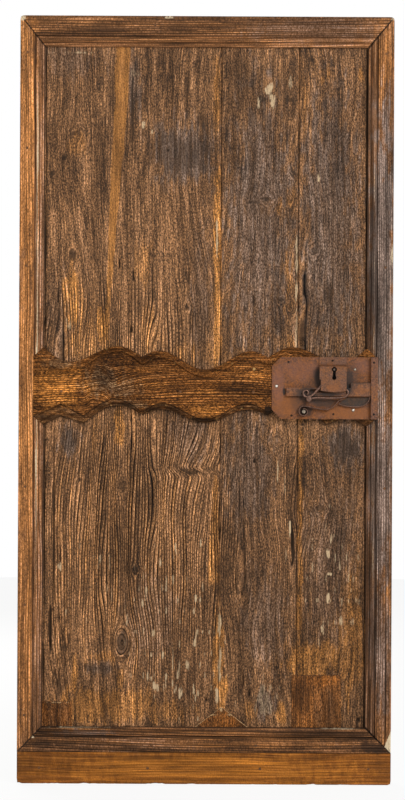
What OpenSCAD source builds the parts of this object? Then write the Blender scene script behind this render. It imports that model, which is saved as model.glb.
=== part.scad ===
// Planked door leaf with a mitred face frame, a wavy middle rail, strap hinges and an open plate lock.
// Leaf frame: X from the left edge, Z from the foot, Y from the planks' front face, front towards -Y.
// place() then brings the mouth of the lower hinge eye to the origin.

/* [Leaf] */
// Width of the leaf
leaf_w = 900; // [860:1:960]
// Height of the leaf
leaf_h = 1848; // [1750:1:1950]
// Thickness of the planks
plank_t = 25; // [22:0.5:32]
// Place of the seam between the left and the middle plank
seam_left_x = 485; // [460:1:510]
// Place of the seam between the middle and the right plank
seam_right_x = 672; // [650:1:690]
// Open gap of a seam at the face
seam_gap = 1.2; // [0.6:0.1:2.5]
// Length of a plank's tongue
tongue_l = 8; // [6:0.5:11]
// Thickness of a plank's tongue
tongue_t = 8; // [6:0.5:10]

/* [Face frame] */
// Thickness of the frame strips
frame_t = 18; // [15:0.5:22]
// Width of the left stile
stile_left_w = 59; // [56:0.5:72]
// Width of the right stile
stile_right_w = 62; // [58:0.5:74]
// Width of the top rail
top_rail_w = 73; // [66:0.5:82]
// Width of the bottom rail
bottom_rail_w = 60; // [54:0.5:70]
// Width of the stuck moulding on the stiles and the bottom rail
moulding_w = 24; // [20:0.5:28]
// Width of the stuck moulding on the top rail
top_moulding_w = 29; // [24:0.5:34]
// Thickness of the moulding at its thin inner lip
lip_t = 7; // [5:0.5:9]
// Depth of the quirk between the flat band and the bead
quirk_d = 4.5; // [3:0.5:6]
// How far the bead stays below the flat band
bead_drop = 0.8; // [0:0.1:2]
// Height of the plinth board
plinth_h = 76; // [66:1:90]
// Thickness of the plinth board
plinth_t = 17; // [14:0.5:20]
// Radius of the plinth's worn lower corners
plinth_corner_r = 9; // [4:0.5:16]
// Open gap of a mitre
mitre_gap = 0.6; // [0.2:0.1:1.5]

/* [Middle rail] */
// Height of the wave's lowest point on the upper edge
wave_upper_z = 998; // [960:1:1040]
// Height of the wave's lowest point on the lower edge
wave_lower_z = 862; // [820:1:890]
// Rise of the wave from its lowest point to its highest
wave_rise = 56; // [44:1:66]

/* [Lock] */
// Distance of the lock plate from the leaf's right edge
lock_inset = 37; // [34:0.5:40]
// Height of the lock plate's lower edge over the wave's lowest point
lock_rise = 18; // [12:0.5:22]
// Width of the lock plate
lock_w = 254; // [246:0.5:262]
// Height of the lock plate
lock_h = 149; // [143:0.5:156]
// Thickness of the lock plate
plate_t = 3; // [2:0.25:4]
// Size of the clipped corners
plate_clip = 22; // [14:0.5:30]
// Width of the front strap
strap_w = 16; // [13:0.5:19]
// Height of the front strap over the plate
strap_t = 12.5; // [11:0.25:15]
// Thickness of the bolt
bolt_t = 8; // [6:0.25:9]
// Height of the bolt's front bar
bolt_h = 32; // [26:0.5:36]
// Height of the bolt's tail
bolt_tail_h = 20; // [16:0.5:24]
// Travel of the bolt
bolt_throw = 55; // [45:1:58]
// Width of the keyhole cover
cover_w = 64.5; // [60:0.5:70]
// Thickness of the keyhole cover
cover_t = 2.5; // [2:0.25:3.5]
// Clear height under the keyhole cover
cover_rise = 16; // [15.8:0.2:20]
// Radius of the keyhole's upper round
keyhole_r = 6.2; // [5:0.1:7.5]
// Radius of the keyhole's lower lobe
keyhole_lobe_r = 5.3; // [4.5:0.1:6.5]
// Width of the keyhole's neck
keyhole_neck_w = 6.8; // [5.5:0.1:8]
// Radius of the pin for a hollow key
key_pin_r = 2.6; // [2:0.1:3.2]
// Height of the tumbler's strip on edge
tumbler_t = 6; // [4:0.25:6.2]
// Thickness of the tumbler's hook strip
tumbler_strip_t = 3.4; // [2.5:0.1:4.5]
// Thickness of the tumbler's arm at its free end
tumbler_arm_t = 5.4; // [4:0.1:6.5]
// Thickness of the tumbler's scroll at its inner end
scroll_end_t = 2.6; // [2:0.1:3.4]
// Radius of the tumbler's pivot
pivot_r = 3; // [2.4:0.1:3.6]
// Radius of the tumbler's boss
boss_r = 6.3; // [5.6:0.1:7]
// Thickness of the spring strips
spring_strip_t = 2.4; // [1.6:0.1:3]
// Height of the tumbler's spring on edge
spring_h = 13; // [11:0.25:14.5]
// Height of the bolt's spring rim on edge
bolt_spring_h = 8; // [6:0.25:10]
// Thickness of the bolt's spring web
bolt_spring_web_t = 2; // [1.5:0.25:3]

/* [Hinges] */
// Height of the lower hinge's centre
hinge_low_z = 280; // [220:1:340]
// Distance of the upper hinge's centre from the top
hinge_top_inset = 288; // [220:1:340]
// Radius of the eye's bore
eye_bore_r = 8.1; // [6.1:0.1:10.1]
// Length of the eye
eye_l = 42; // [36:0.5:50]
// Thickness of the strap
hinge_t = 5; // [4:0.25:6]
// Length of the strap from the eye's centre
hinge_strap_l = 520; // [440:1:600]
// Width of the strap at its far end
hinge_end_w = 26; // [20:0.5:32]
// Distance of the eye's outside from the leaf's edge
eye_inset = 1.5; // [0.5:0.1:4]

/* [Lock fittings] */
// Radius of the bolt guide stud
stud_r = 4; // [3.5:0.1:4.5]
// Radius of the guide stud's head
stud_head_r = 5.5; // [4.8:0.1:6.5]
// Thickness of the guide stud's head
stud_head_t = 2.2; // [1.5:0.1:3]
// Step of the keyhole cover's side
cover_jog = 3; // [1:0.25:5]
// Radius of the stud inside the tumbler spring's scroll
spring_stud_r = 4.2; // [3.5:0.1:4.6]
// Rise of that stud over the spring
stud_rise = 2; // [1:0.1:3]
// Radius of the tumbler pivot's collar
pivot_collar_r = 5; // [4.5:0.1:6]
// Radius of the tumbler pivot's head
pivot_head_r = 5; // [4.5:0.1:6]
// Thickness of the tumbler pivot's head
pivot_head_t = 2; // [1.5:0.1:3]
// Radius of a lock nail
lock_nail_r = 2.7; // [2:0.1:3.2]
// Depth of a lock nail's head under the plate's front
lock_nail_sink = 1; // [0.5:0.1:1.5]
// Length of a lock nail
lock_nail_l = 24; // [18:0.5:30]
// Radius of a lock screw
screw_r = 2.2; // [1.8:0.1:2.6]
// Radius of a lock screw's head
screw_head_r = 4.2; // [3.6:0.1:5]
// Thickness of a lock screw's head
screw_head_t = 1.8; // [1.2:0.1:2.5]
// Length of a lock screw
screw_l = 22; // [18:0.5:30]

/* [Hinge nails] */
// Radius of a hinge nail's shank
hinge_nail_r = 2.4; // [2:0.1:2.8]
// Radius of a hinge nail's domed head
hinge_nail_head_r = 6; // [5:0.25:7]
// Rise of a hinge nail's domed head
hinge_nail_head_t = 3; // [2:0.25:4]
// Length of a hinge nail
hinge_nail_l = 22; // [16:0.5:24]

/* [Nails and repairs] */
// Radius of a frame nail's shank
nail_r = 1.6; // [1.2:0.1:2]
// Radius of a frame nail's head
nail_head_r = 3.2; // [2.6:0.1:4]
// Thickness of a frame nail's head
nail_head_t = 1.4; // [1:0.1:2]
// Length of a frame nail
nail_l = 32; // [26:0.5:36]
// Depth of the let-in repair pieces
patch_t = 6; // [4:0.25:7]
// Gap round the let-in repair pieces
patch_gap = 0.3; // [0.2:0.05:0.8]
// Place of the wedge repair's tip from the left edge
wedge_tip_x = 492; // [480:1:500]
// Half width of the wedge at the bottom rail
wedge_half_w = 63; // [50:1:70]
// Rise of the wedge over the bottom rail
wedge_rise = 48; // [36:1:60]
// Reach of the repair pieces under the frame
patch_under = 12; // [6:0.5:16]
// Seen width of the left repair block
patch_left_w = 72; // [60:1:90]
// Rise of the left repair block over the bottom rail
patch_left_rise = 60; // [48:1:80]
// Place of the right repair block from the left edge
patch_right_x = 661; // [650:1:668]
// Width of the right repair block
patch_right_w = 119; // [100:1:130]
// Rise of the right repair block over the bottom rail
patch_right_rise = 126; // [100:1:140]

/* [Hidden] */
$fn = 48;

// Clearances and cuts
overrun = 5;
seat_gap = 0.1;
run_gap = 0.3;
pivot_gap = 0.05;
tumbler_gap = 0.9;
tongue_gap = 0.3;

// Colours of the materials
wood_dark = "#70513a";
wood_warm = "#8a5e38";
wood_gold = "#9b6a3a";
iron_rust = "#7c5540";
iron_dark = "#4a4440";
iron_bright = "#a59a90";

// Flat bands that the mouldings leave
flat_left_w = stile_left_w - moulding_w;
flat_right_w = stile_right_w - moulding_w;
panel_low_z = plinth_h + bottom_rail_w;
panel_high_z = leaf_h - top_rail_w;

// Moulding section as shares of its width, from the inner lip to the flat band
cove_share = 0.44;
bead_share = 0.44;
cove_steps = 3;
bead_steps = 5;
quirk_v = frame_t - quirk_d;
bead_v = frame_t - bead_drop;

// Middle rail: centre, half length and end points of its mitres
rail_x = (stile_left_w + leaf_w - stile_right_w) / 2;
rail_half = rail_x - stile_left_w;
rail_reach_share = 1 + moulding_w / rail_half;
rail_mitre_share = 0.88;
rail_steps = 36;
rail_end_shares = [0.94, 0.525, 0.375, 0];
// Nodes of the wave from the centre outwards: place along the half rail, rise, 1 for round or 0 for sharp
upper_outer_shares = [[0, 0, 1], [0.285, 0.8, 1], [0.389, 0.53, 0], [0.54, 0.98, 1], [0.84, 0.31, 1],
    [1, rail_end_shares[0], 0]];
upper_inner_shares = [[0, -0.4, 1], [0.275, 0.4, 1], [0.389, 0.12, 0], [0.54, 0.7, 1], [0.85, -0.14, 1],
    [rail_reach_share, rail_end_shares[1], 0]];
lower_outer_shares = [[0, 0.14, 1], [0.265, 0.7, 1], [0.389, 0.47, 0], [0.536, 0.86, 1], [0.75, 0.08, 0],
    [0.889, 0.41, 0], [1, rail_end_shares[3], 0]];
lower_inner_shares = [[0, 0.3, 1], [0.265, 0.97, 1], [0.389, 0.57, 0], [0.55, 1.14, 1], [0.75, 0.42, 0],
    [0.889, 0.93, 0], [rail_reach_share, rail_end_shares[2], 0]];

// Lock: lower left corner of its plate, and layers in front of the plate
lock_x = leaf_w - lock_inset - lock_w;
lock_z = wave_lower_z + lock_rise;
bolt_top = run_gap + bolt_t;
tumbler_low = bolt_top + tumbler_gap;
plate_front = frame_t + plate_t;
strap_x = lock_w - strap_w;

// Bolt
bolt_z_share = 0.37;
bolt_z = bolt_z_share * lock_h;
bolt_tail_share = 0.138;
bolt_front_share = 0.745;
bolt_prong_shares = [0.476, 0.666];
prong_w_share = 0.03;
prong_top_share = 0.67;
stud_place_shares = [0.588, 0.455];

// Keyhole cover
cover_x_share = 0.449;
cover_low_share = 0.435;
cover_bow_share = 0.025;
cover_tab_share = 0.865;
cover_bend_share = 0.83;
cover_jog_share = 0.64;
keyhole_shares = [0.587, 0.8];
keyhole_lobe_share = 0.668;
key_pin_l = cover_rise + cover_t / 2;

// Tumbler, springs and studs, as shares of the plate's width and height
boss_shares = [0.35, 0.322];
scroll_shares = [0.325, 0.42];
scroll_r_share = 0.037;
scroll_in_share = 0.014;
scroll_angles = [285, -70];
arm_shares = [[0.485, 0.58], [0.448, 0.506], [0.41, 0.435], [0.38, 0.385], [0.356, 0.366]];
hook_shares = [boss_shares, [0.385, 0.338], [0.43, 0.346], [0.52, 0.342], [0.62, 0.344], [0.69, 0.36],
    [0.719, 0.42], [0.708, 0.48]];
spring_scroll_shares = [0.303, 0.122];
spring_r_share = 0.052;
spring_in_share = 0.0255;
spring_angles = [75, 470];
spring_route_shares = [[0.345, 0.206], [0.43, 0.172], [0.51, 0.155], [0.57, 0.19], [0.605, 0.246],
    [0.637, 0.303], [0.672, 0.318]];
rim_route_shares = [[0.632, 0.247], [0.69, 0.217], [0.758, 0.203], [0.83, 0.205], [0.885, 0.24],
    [0.915, 0.3], [0.922, 0.353]];
web_corner_shares = [0.71, 0.35];
curve_steps = 7;
scroll_steps = 30;

// Nails and screws of the lock, as shares of the plate
plate_nail_shares = [[0.157, 0.921], [0.573, 0.944], [0.187, 0.056], [0.583, 0.08], [0.962, 0.915],
    [0.962, 0.08]];
plate_screw_shares = [[0.044, 0.528], [0.785, 0.802], [0.771, 0.148]];

// Hinges
hinge_high_z = leaf_h - hinge_top_inset;
eye_r = eye_bore_r + hinge_t;
hinge_x = eye_inset + eye_r;
hinge_y = plank_t + eye_r;
hinge_nail_shares = [0.14, 0.36, 0.58, 0.8, 0.955];

// Frame nails: places along each strip
stile_nail_shares = [0.05, 0.2, 0.36, 0.66, 0.82, 0.95];
rail_nail_shares = [0.1, 0.36, 0.64, 0.9];
plinth_nail_shares = [0.06, 0.35, 0.65, 0.94];
middle_nail_shares = [0.08, 0.3, 0.6, 0.92];

function lerp(a, b, t) = a + (b - a) * t;

// Ease between two wave nodes: a round node leaves with no slope, a sharp one with a slope
function ease(t, round_a, round_b) =
    round_a == 1 && round_b == 1 ? (1 - cos(180 * t)) / 2 :
    round_a == 1 ? 1 - cos(90 * t) :
    round_b == 1 ? sin(90 * t) : t;

// Rise of a wave at a place given as a share of the half rail
function wave(nodes, place, i = 0) =
    place <= nodes[i + 1][0] || i == len(nodes) - 2
    ? lerp(nodes[i][1], nodes[i + 1][1],
        ease((place - nodes[i][0]) / (nodes[i + 1][0] - nodes[i][0]), nodes[i][2], nodes[i + 1][2]))
    : wave(nodes, place, i + 1);

// Section of the moulding: share of the width from the lip, and thickness there
moulding = concat(
    [for (i = [0:cove_steps - 1]) let (s = i / cove_steps)
        [cove_share * s, lerp(lip_t, quirk_v, 1 - sqrt(1 - s * s))]],
    [for (i = [0:bead_steps]) let (a = 180 * i / bead_steps)
        [cove_share + bead_share * (1 - cos(a)) / 2, lerp(quirk_v, bead_v, sin(a))]],
    [[1, quirk_v], [1, frame_t]]);

// Outline of a frame strip's section, from its outer edge to its lip
function strip_section(w, mould_w) = concat(
    [[w, 0]],
    [for (p = moulding) [w - p[0] * mould_w, -p[1]]],
    [[0, -frame_t], [0, 0]]);

// Smooth curve through points
function curve_point(a, b, c, d, t) =
    (2 * b + (c - a) * t + (2 * a - 5 * b + 4 * c - d) * t * t + (3 * b - a - 3 * c + d) * t * t * t) / 2;
function curve(p) = concat(
    [for (i = [0:len(p) - 2], k = [0:curve_steps - 1])
        curve_point(p[max(i - 1, 0)], p[i], p[i + 1], p[min(i + 2, len(p) - 1)], k / curve_steps)],
    [p[len(p) - 1]]);

// Turns of a scroll about a centre, its radius and angle going evenly from the first to the second
function scroll(centre, radii, angles) = [for (i = [0:scroll_steps])
    let (t = i / scroll_steps, a = lerp(angles[0], angles[1], t))
    centre + lerp(radii[0], radii[1], t) * [cos(a), sin(a)]];

// Outline of a strip along a path, its thickness going evenly from t_a to t_b
function side(p, i) = let (d = p[min(i + 1, len(p) - 1)] - p[max(i - 1, 0)]) [-d[1], d[0]] / norm(d);
function half_side(p, i, t_a, t_b) = side(p, i) * lerp(t_a, t_b, i / (len(p) - 1)) / 2;
function strip_outline(p, t_a, t_b) = concat(
    [for (i = [0:len(p) - 1]) p[i] + half_side(p, i, t_a, t_b)],
    [for (i = [len(p) - 1:-1:0]) p[i] - half_side(p, i, t_a, t_b)]);

// Places on the lock plate from shares of its width and height
function on_plate(s) = [s[0] * lock_w, s[1] * lock_h];
function route(shares) = curve([for (s = shares) on_plate(s)]);

module place() translate([-hinge_x, -hinge_y, eye_l / 2 - hinge_low_z]) children();

// Prism that stands out of the planks' face, or of a face in front of it, towards the front
module raise(t, from = 0) translate([0, -from, 0]) rotate([90, 0, 0]) linear_extrude(t) children();

// Frame of the lock: X and Z from the plate's lower left corner, out from the plate's front face
module on_lock(t, from = 0) translate([lock_x, 0, lock_z]) raise(t, plate_front + from) children();

// Round bar that points to the front, with its back end at y
module peg(x, z, r, t, from) translate([x, -from, z]) rotate([90, 0, 0]) cylinder(h = t, r = r);

// Planks with tongues and grooves
module plank_section(x_a, x_b, groove, tongue) {
    difference() {
        translate([x_a, 0]) square([x_b - x_a, plank_t]);
        if (groove) translate([x_a, (plank_t - tongue_t) / 2 - tongue_gap])
            square([tongue_l + tongue_gap, tongue_t + 2 * tongue_gap]);
    }
    if (tongue) translate([x_b - overrun, (plank_t - tongue_t) / 2])
        square([overrun + seam_gap + tongue_l - tongue_gap, tongue_t]);
}

module plank(x_a, x_b, groove, tongue) {
    difference() {
        linear_extrude(leaf_h) plank_section(x_a, x_b, groove, tongue);
        patches(patch_gap);
        frame_nail_set(seat_gap);
        hinge_nail_set(seat_gap);
        lock_shank_set(seat_gap);
    }
}

// Repair pieces, grown by a gap where they are cut out of the planks
module wedge_outline(gap) {
    low = panel_low_z - patch_under;
    spread = wedge_half_w * (wedge_rise + patch_under) / wedge_rise;
    polygon([[wedge_tip_x - spread - gap, low - gap], [wedge_tip_x + spread + gap, low - gap],
        [wedge_tip_x, panel_low_z + wedge_rise + gap]]);
}
module block_outline(x, w, rise, gap)
    translate([x - gap, panel_low_z - patch_under - gap])
        square([w + 2 * gap, rise + patch_under + 2 * gap]);
module let_in(gap) translate([0, patch_t + gap, 0]) raise(patch_t + gap) children();
module wedge(gap) let_in(gap) wedge_outline(gap);
module left_block(gap) let_in(gap)
    block_outline(stile_left_w - patch_under, patch_left_w + patch_under, patch_left_rise, gap);
module right_block(gap) let_in(gap) block_outline(patch_right_x, patch_right_w, patch_right_rise, gap);
module patches(gap) {
    wedge(gap);
    left_block(gap);
    right_block(gap);
}

// Strips of the face frame, cut to their mitres
module mitred(outline) intersection() {
    children();
    translate([0, overrun, 0]) raise(frame_t + 2 * overrun) polygon(outline);
}
module upright(w) linear_extrude(leaf_h) polygon(strip_section(w, moulding_w));
// Pocket of the middle rail's end in a stile, with x counted from the stile's outer edge
module rail_pocket(w) {
    slope_up = (rail_end_shares[0] - rail_end_shares[1]) * wave_rise / moulding_w;
    slope_low = (rail_end_shares[3] - rail_end_shares[2]) * wave_rise / moulding_w;
    up = wave_upper_z + rail_end_shares[1] * wave_rise + seat_gap;
    low = wave_lower_z + rail_end_shares[2] * wave_rise - seat_gap;
    flat = w - moulding_w;
    reach = moulding_w + overrun;
    translate([0, overrun, 0]) raise(frame_t + 2 * overrun)
        polygon([[flat, low], [flat, up], [flat + reach, up + reach * slope_up],
            [flat + reach, low + reach * slope_low]]);
}
module stile(w) difference() {
    mitred([[0, plinth_h + mitre_gap / 2], [0, leaf_h - mitre_gap / 2],
        [w, panel_high_z - mitre_gap / 2], [w, panel_low_z + mitre_gap / 2]]) upright(w);
    rail_pocket(w);
}

// Middle rail: curves of the moulding from the outer edge to the flat, on both edges, joined to a solid
function mitre_ramp(s) = max(0, (abs(s) - rail_mitre_share) / (1 - rail_mitre_share));
function rail_point(s, across, t, outer, inner, base) =
    let (half = rail_half - seat_gap,
        x_out = s * half,
        x_in = s * half + sign(s) * moulding_w * mitre_ramp(s),
        z_out = base + wave_rise * wave(outer, abs(x_out) / half),
        z_in = base + wave_rise * wave(inner, abs(x_in) / half))
    [rail_x + lerp(x_out, x_in, across), -t, lerp(z_out, z_in, across)];
rail_rows = concat([[0, 0]], moulding);
function rail_ring(s) = concat(
    [for (p = rail_rows) rail_point(s, p[0], p[1], upper_outer_shares, upper_inner_shares, wave_upper_z)],
    [for (i = [len(rail_rows) - 1:-1:0]) rail_point(s, rail_rows[i][0], rail_rows[i][1],
        lower_outer_shares, lower_inner_shares, wave_lower_z)],
    [rail_point(s, 1, 0, lower_outer_shares, lower_inner_shares, wave_lower_z),
        rail_point(s, 1, 0, upper_outer_shares, upper_inner_shares, wave_upper_z)]);
module rail_solid() {
    n = 2 * rail_steps;
    rows = len(rail_rows);
    ring = 2 * rows + 2;
    points = [for (i = [0:n]) each rail_ring(i / rail_steps - 1)];
    upper_cap = concat([ring - 1], [for (k = [0:rows - 2]) k]);
    band_cap = [rows - 2, rows - 1, rows, rows + 1];
    core_cap = [rows - 2, rows + 1, ring - 2, ring - 1];
    lower_cap = concat([ring - 2], [for (k = [rows + 1:ring - 3]) k]);
    caps = [upper_cap, band_cap, core_cap, lower_cap];
    sides = [for (i = [0:n - 1], k = [0:ring - 1]) let (a = i * ring + k, b = i * ring + (k + 1) % ring)
        each [[a, b, b + ring], [a, b + ring, a + ring]]];
    near = [for (c = caps) [for (k = [len(c) - 1:-1:0]) c[k]]];
    far = [for (c = caps) [for (k = c) k + n * ring]];
    polyhedron(points, concat(sides, near, far));
}

// Frame nails: every place is [x, z, height of the head's face over the planks]
function along(a, b, shares) = [for (s = shares) lerp(a, b, s)];
frame_nail_places = concat(
    [for (z = along(plinth_h, leaf_h, stile_nail_shares)) [flat_left_w / 2, z, frame_t]],
    [for (z = along(plinth_h, leaf_h, stile_nail_shares)) [leaf_w - flat_right_w / 2, z, frame_t]],
    [for (x = along(0, leaf_w, rail_nail_shares))
        [x, leaf_h - (top_rail_w - top_moulding_w) / 2, frame_t]],
    [for (x = along(0, leaf_w, rail_nail_shares))
        [x, plinth_h + (bottom_rail_w - moulding_w) / 2, frame_t]],
    [for (x = along(0, leaf_w, plinth_nail_shares)) [x, plinth_h / 2, plinth_t]],
    [for (x = along(stile_left_w, lock_x, middle_nail_shares))
        [x, (wave_upper_z + wave_lower_z + wave_rise / 2) / 2, frame_t]]);
module frame_nail_set(gap) for (p = frame_nail_places) {
    peg(p[0], p[1], nail_r + gap, nail_l + gap - nail_head_t, p[2] - nail_l - gap);
    peg(p[0], p[1], nail_head_r + gap, nail_head_t + gap, p[2] - nail_head_t - gap);
}

// Shanks of the lock's nails and screws in the wood
module lock_shank_set(gap) {
    for (s = plate_nail_shares)
        peg(lock_x + on_plate(s)[0], lock_z + on_plate(s)[1], lock_nail_r + gap, lock_nail_l + gap,
            frame_t - lock_nail_l - gap);
    for (s = plate_screw_shares)
        peg(lock_x + on_plate(s)[0], lock_z + on_plate(s)[1], screw_r + gap, screw_l + gap,
            frame_t - screw_l - gap);
}

// Hinge straps on the back
function hinge_nail_x(s) = hinge_x + s * hinge_strap_l;
module hinge_nail_set(gap) for (z = [hinge_low_z, hinge_high_z], s = hinge_nail_shares) {
    top = plank_t + hinge_t;
    peg(hinge_nail_x(s), z, hinge_nail_r + gap, hinge_nail_l + gap, -top);
}
module strap_outline() {
    far = hinge_strap_l - hinge_end_w / 2;
    polygon([[0, -eye_l / 2], [far, -hinge_end_w / 2], [far, hinge_end_w / 2], [0, eye_l / 2]]);
    translate([far, 0]) circle(hinge_end_w / 2);
}
module hinge_strap(z) difference() {
    union() {
        translate([hinge_x, plank_t + hinge_t, z]) rotate([90, 0, 0])
            linear_extrude(hinge_t) strap_outline();
        translate([hinge_x, hinge_y, z - eye_l / 2]) cylinder(h = eye_l, r = eye_r);
    }
    translate([hinge_x, hinge_y, z - eye_l / 2 - overrun])
        cylinder(h = eye_l + 2 * overrun, r = eye_bore_r);
    for (s = hinge_nail_shares)
        peg(hinge_nail_x(s), z, hinge_nail_r + seat_gap, hinge_t + 2 * overrun,
            -plank_t - hinge_t - overrun);
}

// Lock
module plate_outline() polygon([[plate_clip, 0], [lock_w, 0], [lock_w, lock_h], [plate_clip, lock_h],
    [0, lock_h - plate_clip], [0, plate_clip]]);
module lock_holes(t) {
    for (s = plate_nail_shares)
        peg(lock_x + on_plate(s)[0], lock_z + on_plate(s)[1], lock_nail_r + seat_gap, t, frame_t - overrun);
    for (s = plate_screw_shares)
        peg(lock_x + on_plate(s)[0], lock_z + on_plate(s)[1], screw_r + seat_gap, t, frame_t - overrun);
}
module keyhole_outline() {
    centre = on_plate(keyhole_shares);
    lobe = keyhole_lobe_share * lock_h;
    translate(centre) circle(keyhole_r);
    translate([centre[0], lobe]) circle(keyhole_lobe_r);
    translate([centre[0] - keyhole_neck_w / 2, lobe]) square([keyhole_neck_w, centre[1] - lobe]);
}
module cover_outline() {
    low = cover_low_share * lock_h;
    bow = cover_bow_share * lock_h;
    jog = cover_jog_share * lock_h;
    polygon(concat(
        [[0, lock_h], [0, jog], [cover_jog, jog]],
        [for (i = [0:bead_steps * 2]) let (s = i / (bead_steps * 2))
            [lerp(cover_jog, cover_w, s), low + bow - bow * sin(180 * s)]],
        [[cover_w, lock_h]]));
}
// Bent section of the cover: tab on the plate, rise, and raised face, as [out from the plate, height]
module cover_section() {
    bend = cover_bend_share * lock_h;
    tab = cover_tab_share * lock_h;
    low = cover_low_share * lock_h - overrun;
    polygon([[0, lock_h], [0, tab], [cover_rise, bend], [cover_rise, low], [cover_rise + cover_t, low],
        [cover_rise + cover_t, bend + cover_t], [cover_t, tab + cover_t], [cover_t, lock_h]]);
}

module bolt_outline() {
    tail = bolt_tail_share * lock_w;
    front = bolt_front_share * lock_w;
    translate([tail, bolt_z]) square([lock_w - tail, bolt_tail_h]);
    translate([front, bolt_z]) square([lock_w - front, bolt_h]);
    for (s = bolt_prong_shares)
        translate([s * lock_w, bolt_z]) square([prong_w_share * lock_w, prong_top_share * lock_h - bolt_z]);
}
module guide_slot() {
    stud = on_plate(stud_place_shares);
    half = stud_r + seat_gap;
    translate(stud) circle(half);
    translate(stud - [bolt_throw, 0]) circle(half);
    translate(stud - [bolt_throw, half]) square([bolt_throw, 2 * half]);
}

tumbler_arm_path = concat(route(arm_shares),
    scroll(on_plate(scroll_shares), [scroll_r_share, scroll_in_share] * lock_w, scroll_angles));
spring_scroll = scroll(on_plate(spring_scroll_shares), [spring_r_share, spring_in_share] * lock_w,
    spring_angles);
tumbler_spring_path = concat(
    [for (i = [scroll_steps:-1:0]) spring_scroll[i]],
    [for (i = [curve_steps:curve_steps * (len(spring_route_shares) - 1)]) route(spring_route_shares)[i]]);

// Planks
module plank_left() color(wood_dark) place() plank(0, seam_left_x - seam_gap / 2, false, true);
module plank_middle() color(wood_dark) place()
    plank(seam_left_x + seam_gap / 2, seam_right_x - seam_gap / 2, true, true);
module plank_right() color(wood_dark) place() plank(seam_right_x + seam_gap / 2, leaf_w, true, false);

// Face frame
module stile_left() color(wood_gold) place() difference() {
    stile(stile_left_w);
    frame_nail_set(seat_gap);
}
module stile_right() color(wood_warm) place() difference() {
    translate([leaf_w, 0, 0]) mirror([1, 0, 0]) stile(stile_right_w);
    frame_nail_set(seat_gap);
}
module top_rail() color(wood_dark) place() difference() {
    mitred([[mitre_gap / 2, leaf_h], [leaf_w - mitre_gap / 2, leaf_h],
        [leaf_w - stile_right_w - mitre_gap / 2, panel_high_z],
        [stile_left_w + mitre_gap / 2, panel_high_z]])
        translate([0, 0, leaf_h]) rotate([0, 90, 0]) linear_extrude(leaf_w)
            polygon(strip_section(top_rail_w, top_moulding_w));
    frame_nail_set(seat_gap);
}
module bottom_rail() color(wood_dark) place() difference() {
    mitred([[mitre_gap / 2, plinth_h], [stile_left_w + mitre_gap / 2, panel_low_z],
        [leaf_w - stile_right_w - mitre_gap / 2, panel_low_z], [leaf_w - mitre_gap / 2, plinth_h]])
        translate([leaf_w, 0, plinth_h]) rotate([0, -90, 0]) linear_extrude(leaf_w)
            polygon(strip_section(bottom_rail_w, moulding_w));
    frame_nail_set(seat_gap);
}
module middle_rail() color(wood_dark) place() difference() {
    rail_solid();
    frame_nail_set(seat_gap);
    lock_shank_set(seat_gap);
}
module plinth_board() color(wood_gold) place() difference() {
    raise(plinth_t) {
        translate([0, plinth_corner_r]) square([leaf_w, plinth_h - plinth_corner_r]);
        translate([plinth_corner_r, 0]) square([leaf_w - 2 * plinth_corner_r, plinth_h]);
        for (x = [plinth_corner_r, leaf_w - plinth_corner_r])
            translate([x, plinth_corner_r]) circle(plinth_corner_r);
    }
    frame_nail_set(seat_gap);
}
module patch_wedge() color(wood_warm) place() wedge(0);
module patch_left() color(wood_warm) place() left_block(0);
module patch_right() color(wood_warm) place() right_block(0);
module frame_nails() color(iron_dark) place() frame_nail_set(0);

// Lock pieces
module lock_plate() color(iron_rust) place() difference() {
    on_lock(plate_t, -plate_t) plate_outline();
    lock_holes(plate_t + 2 * overrun);
}
module lock_front_strap() color(iron_rust) place() difference() {
    on_lock(strap_t) translate([strap_x, 0]) square([strap_w, lock_h]);
    on_lock(bolt_top + run_gap + overrun, -overrun) translate([strap_x - overrun, bolt_z - run_gap])
        square([strap_w + 2 * overrun, bolt_h + 2 * run_gap]);
    lock_holes(plate_t + strap_t + 2 * overrun);
}
module keyhole_cover() color(iron_rust) place() difference() {
    intersection() {
        translate([lock_x + cover_x_share * lock_w + cover_w, -plate_front, lock_z])
            rotate([90, 0, -90]) linear_extrude(cover_w) cover_section();
        on_lock(cover_rise + cover_t + overrun, -overrun)
            translate([cover_x_share * lock_w, 0]) cover_outline();
    }
    on_lock(cover_rise + cover_t + overrun) keyhole_outline();
    lock_holes(plate_t + cover_t + 2 * overrun);
}
module key_pin() color(iron_bright) place() on_lock(key_pin_l) translate(on_plate(keyhole_shares))
    circle(key_pin_r);
module lock_bolt() color(iron_rust) place() on_lock(bolt_t, run_gap) difference() {
    bolt_outline();
    guide_slot();
}
module bolt_guide_stud() color(iron_dark) place() {
    on_lock(bolt_top + run_gap) translate(on_plate(stud_place_shares)) circle(stud_r);
    on_lock(stud_head_t, bolt_top + run_gap) translate(on_plate(stud_place_shares)) circle(stud_head_r);
}
module bolt_spring() color(iron_dark) place() {
    rim = route(rim_route_shares);
    on_lock(bolt_spring_h) polygon(strip_outline(rim, spring_strip_t, spring_strip_t));
    on_lock(bolt_spring_web_t) polygon(concat([on_plate(web_corner_shares)], rim));
}
module tumbler() color(iron_rust) place() difference() {
    union() {
        on_lock(tumbler_t, tumbler_low)
            polygon(strip_outline(tumbler_arm_path, tumbler_arm_t, scroll_end_t));
        on_lock(tumbler_t, tumbler_low)
            polygon(strip_outline(route(hook_shares), tumbler_strip_t, tumbler_strip_t));
        on_lock(tumbler_t, tumbler_low) translate(on_plate(boss_shares)) circle(boss_r);
    }
    on_lock(tumbler_t + 2 * overrun, tumbler_low - overrun) translate(on_plate(boss_shares))
        circle(pivot_r + pivot_gap);
}
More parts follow.
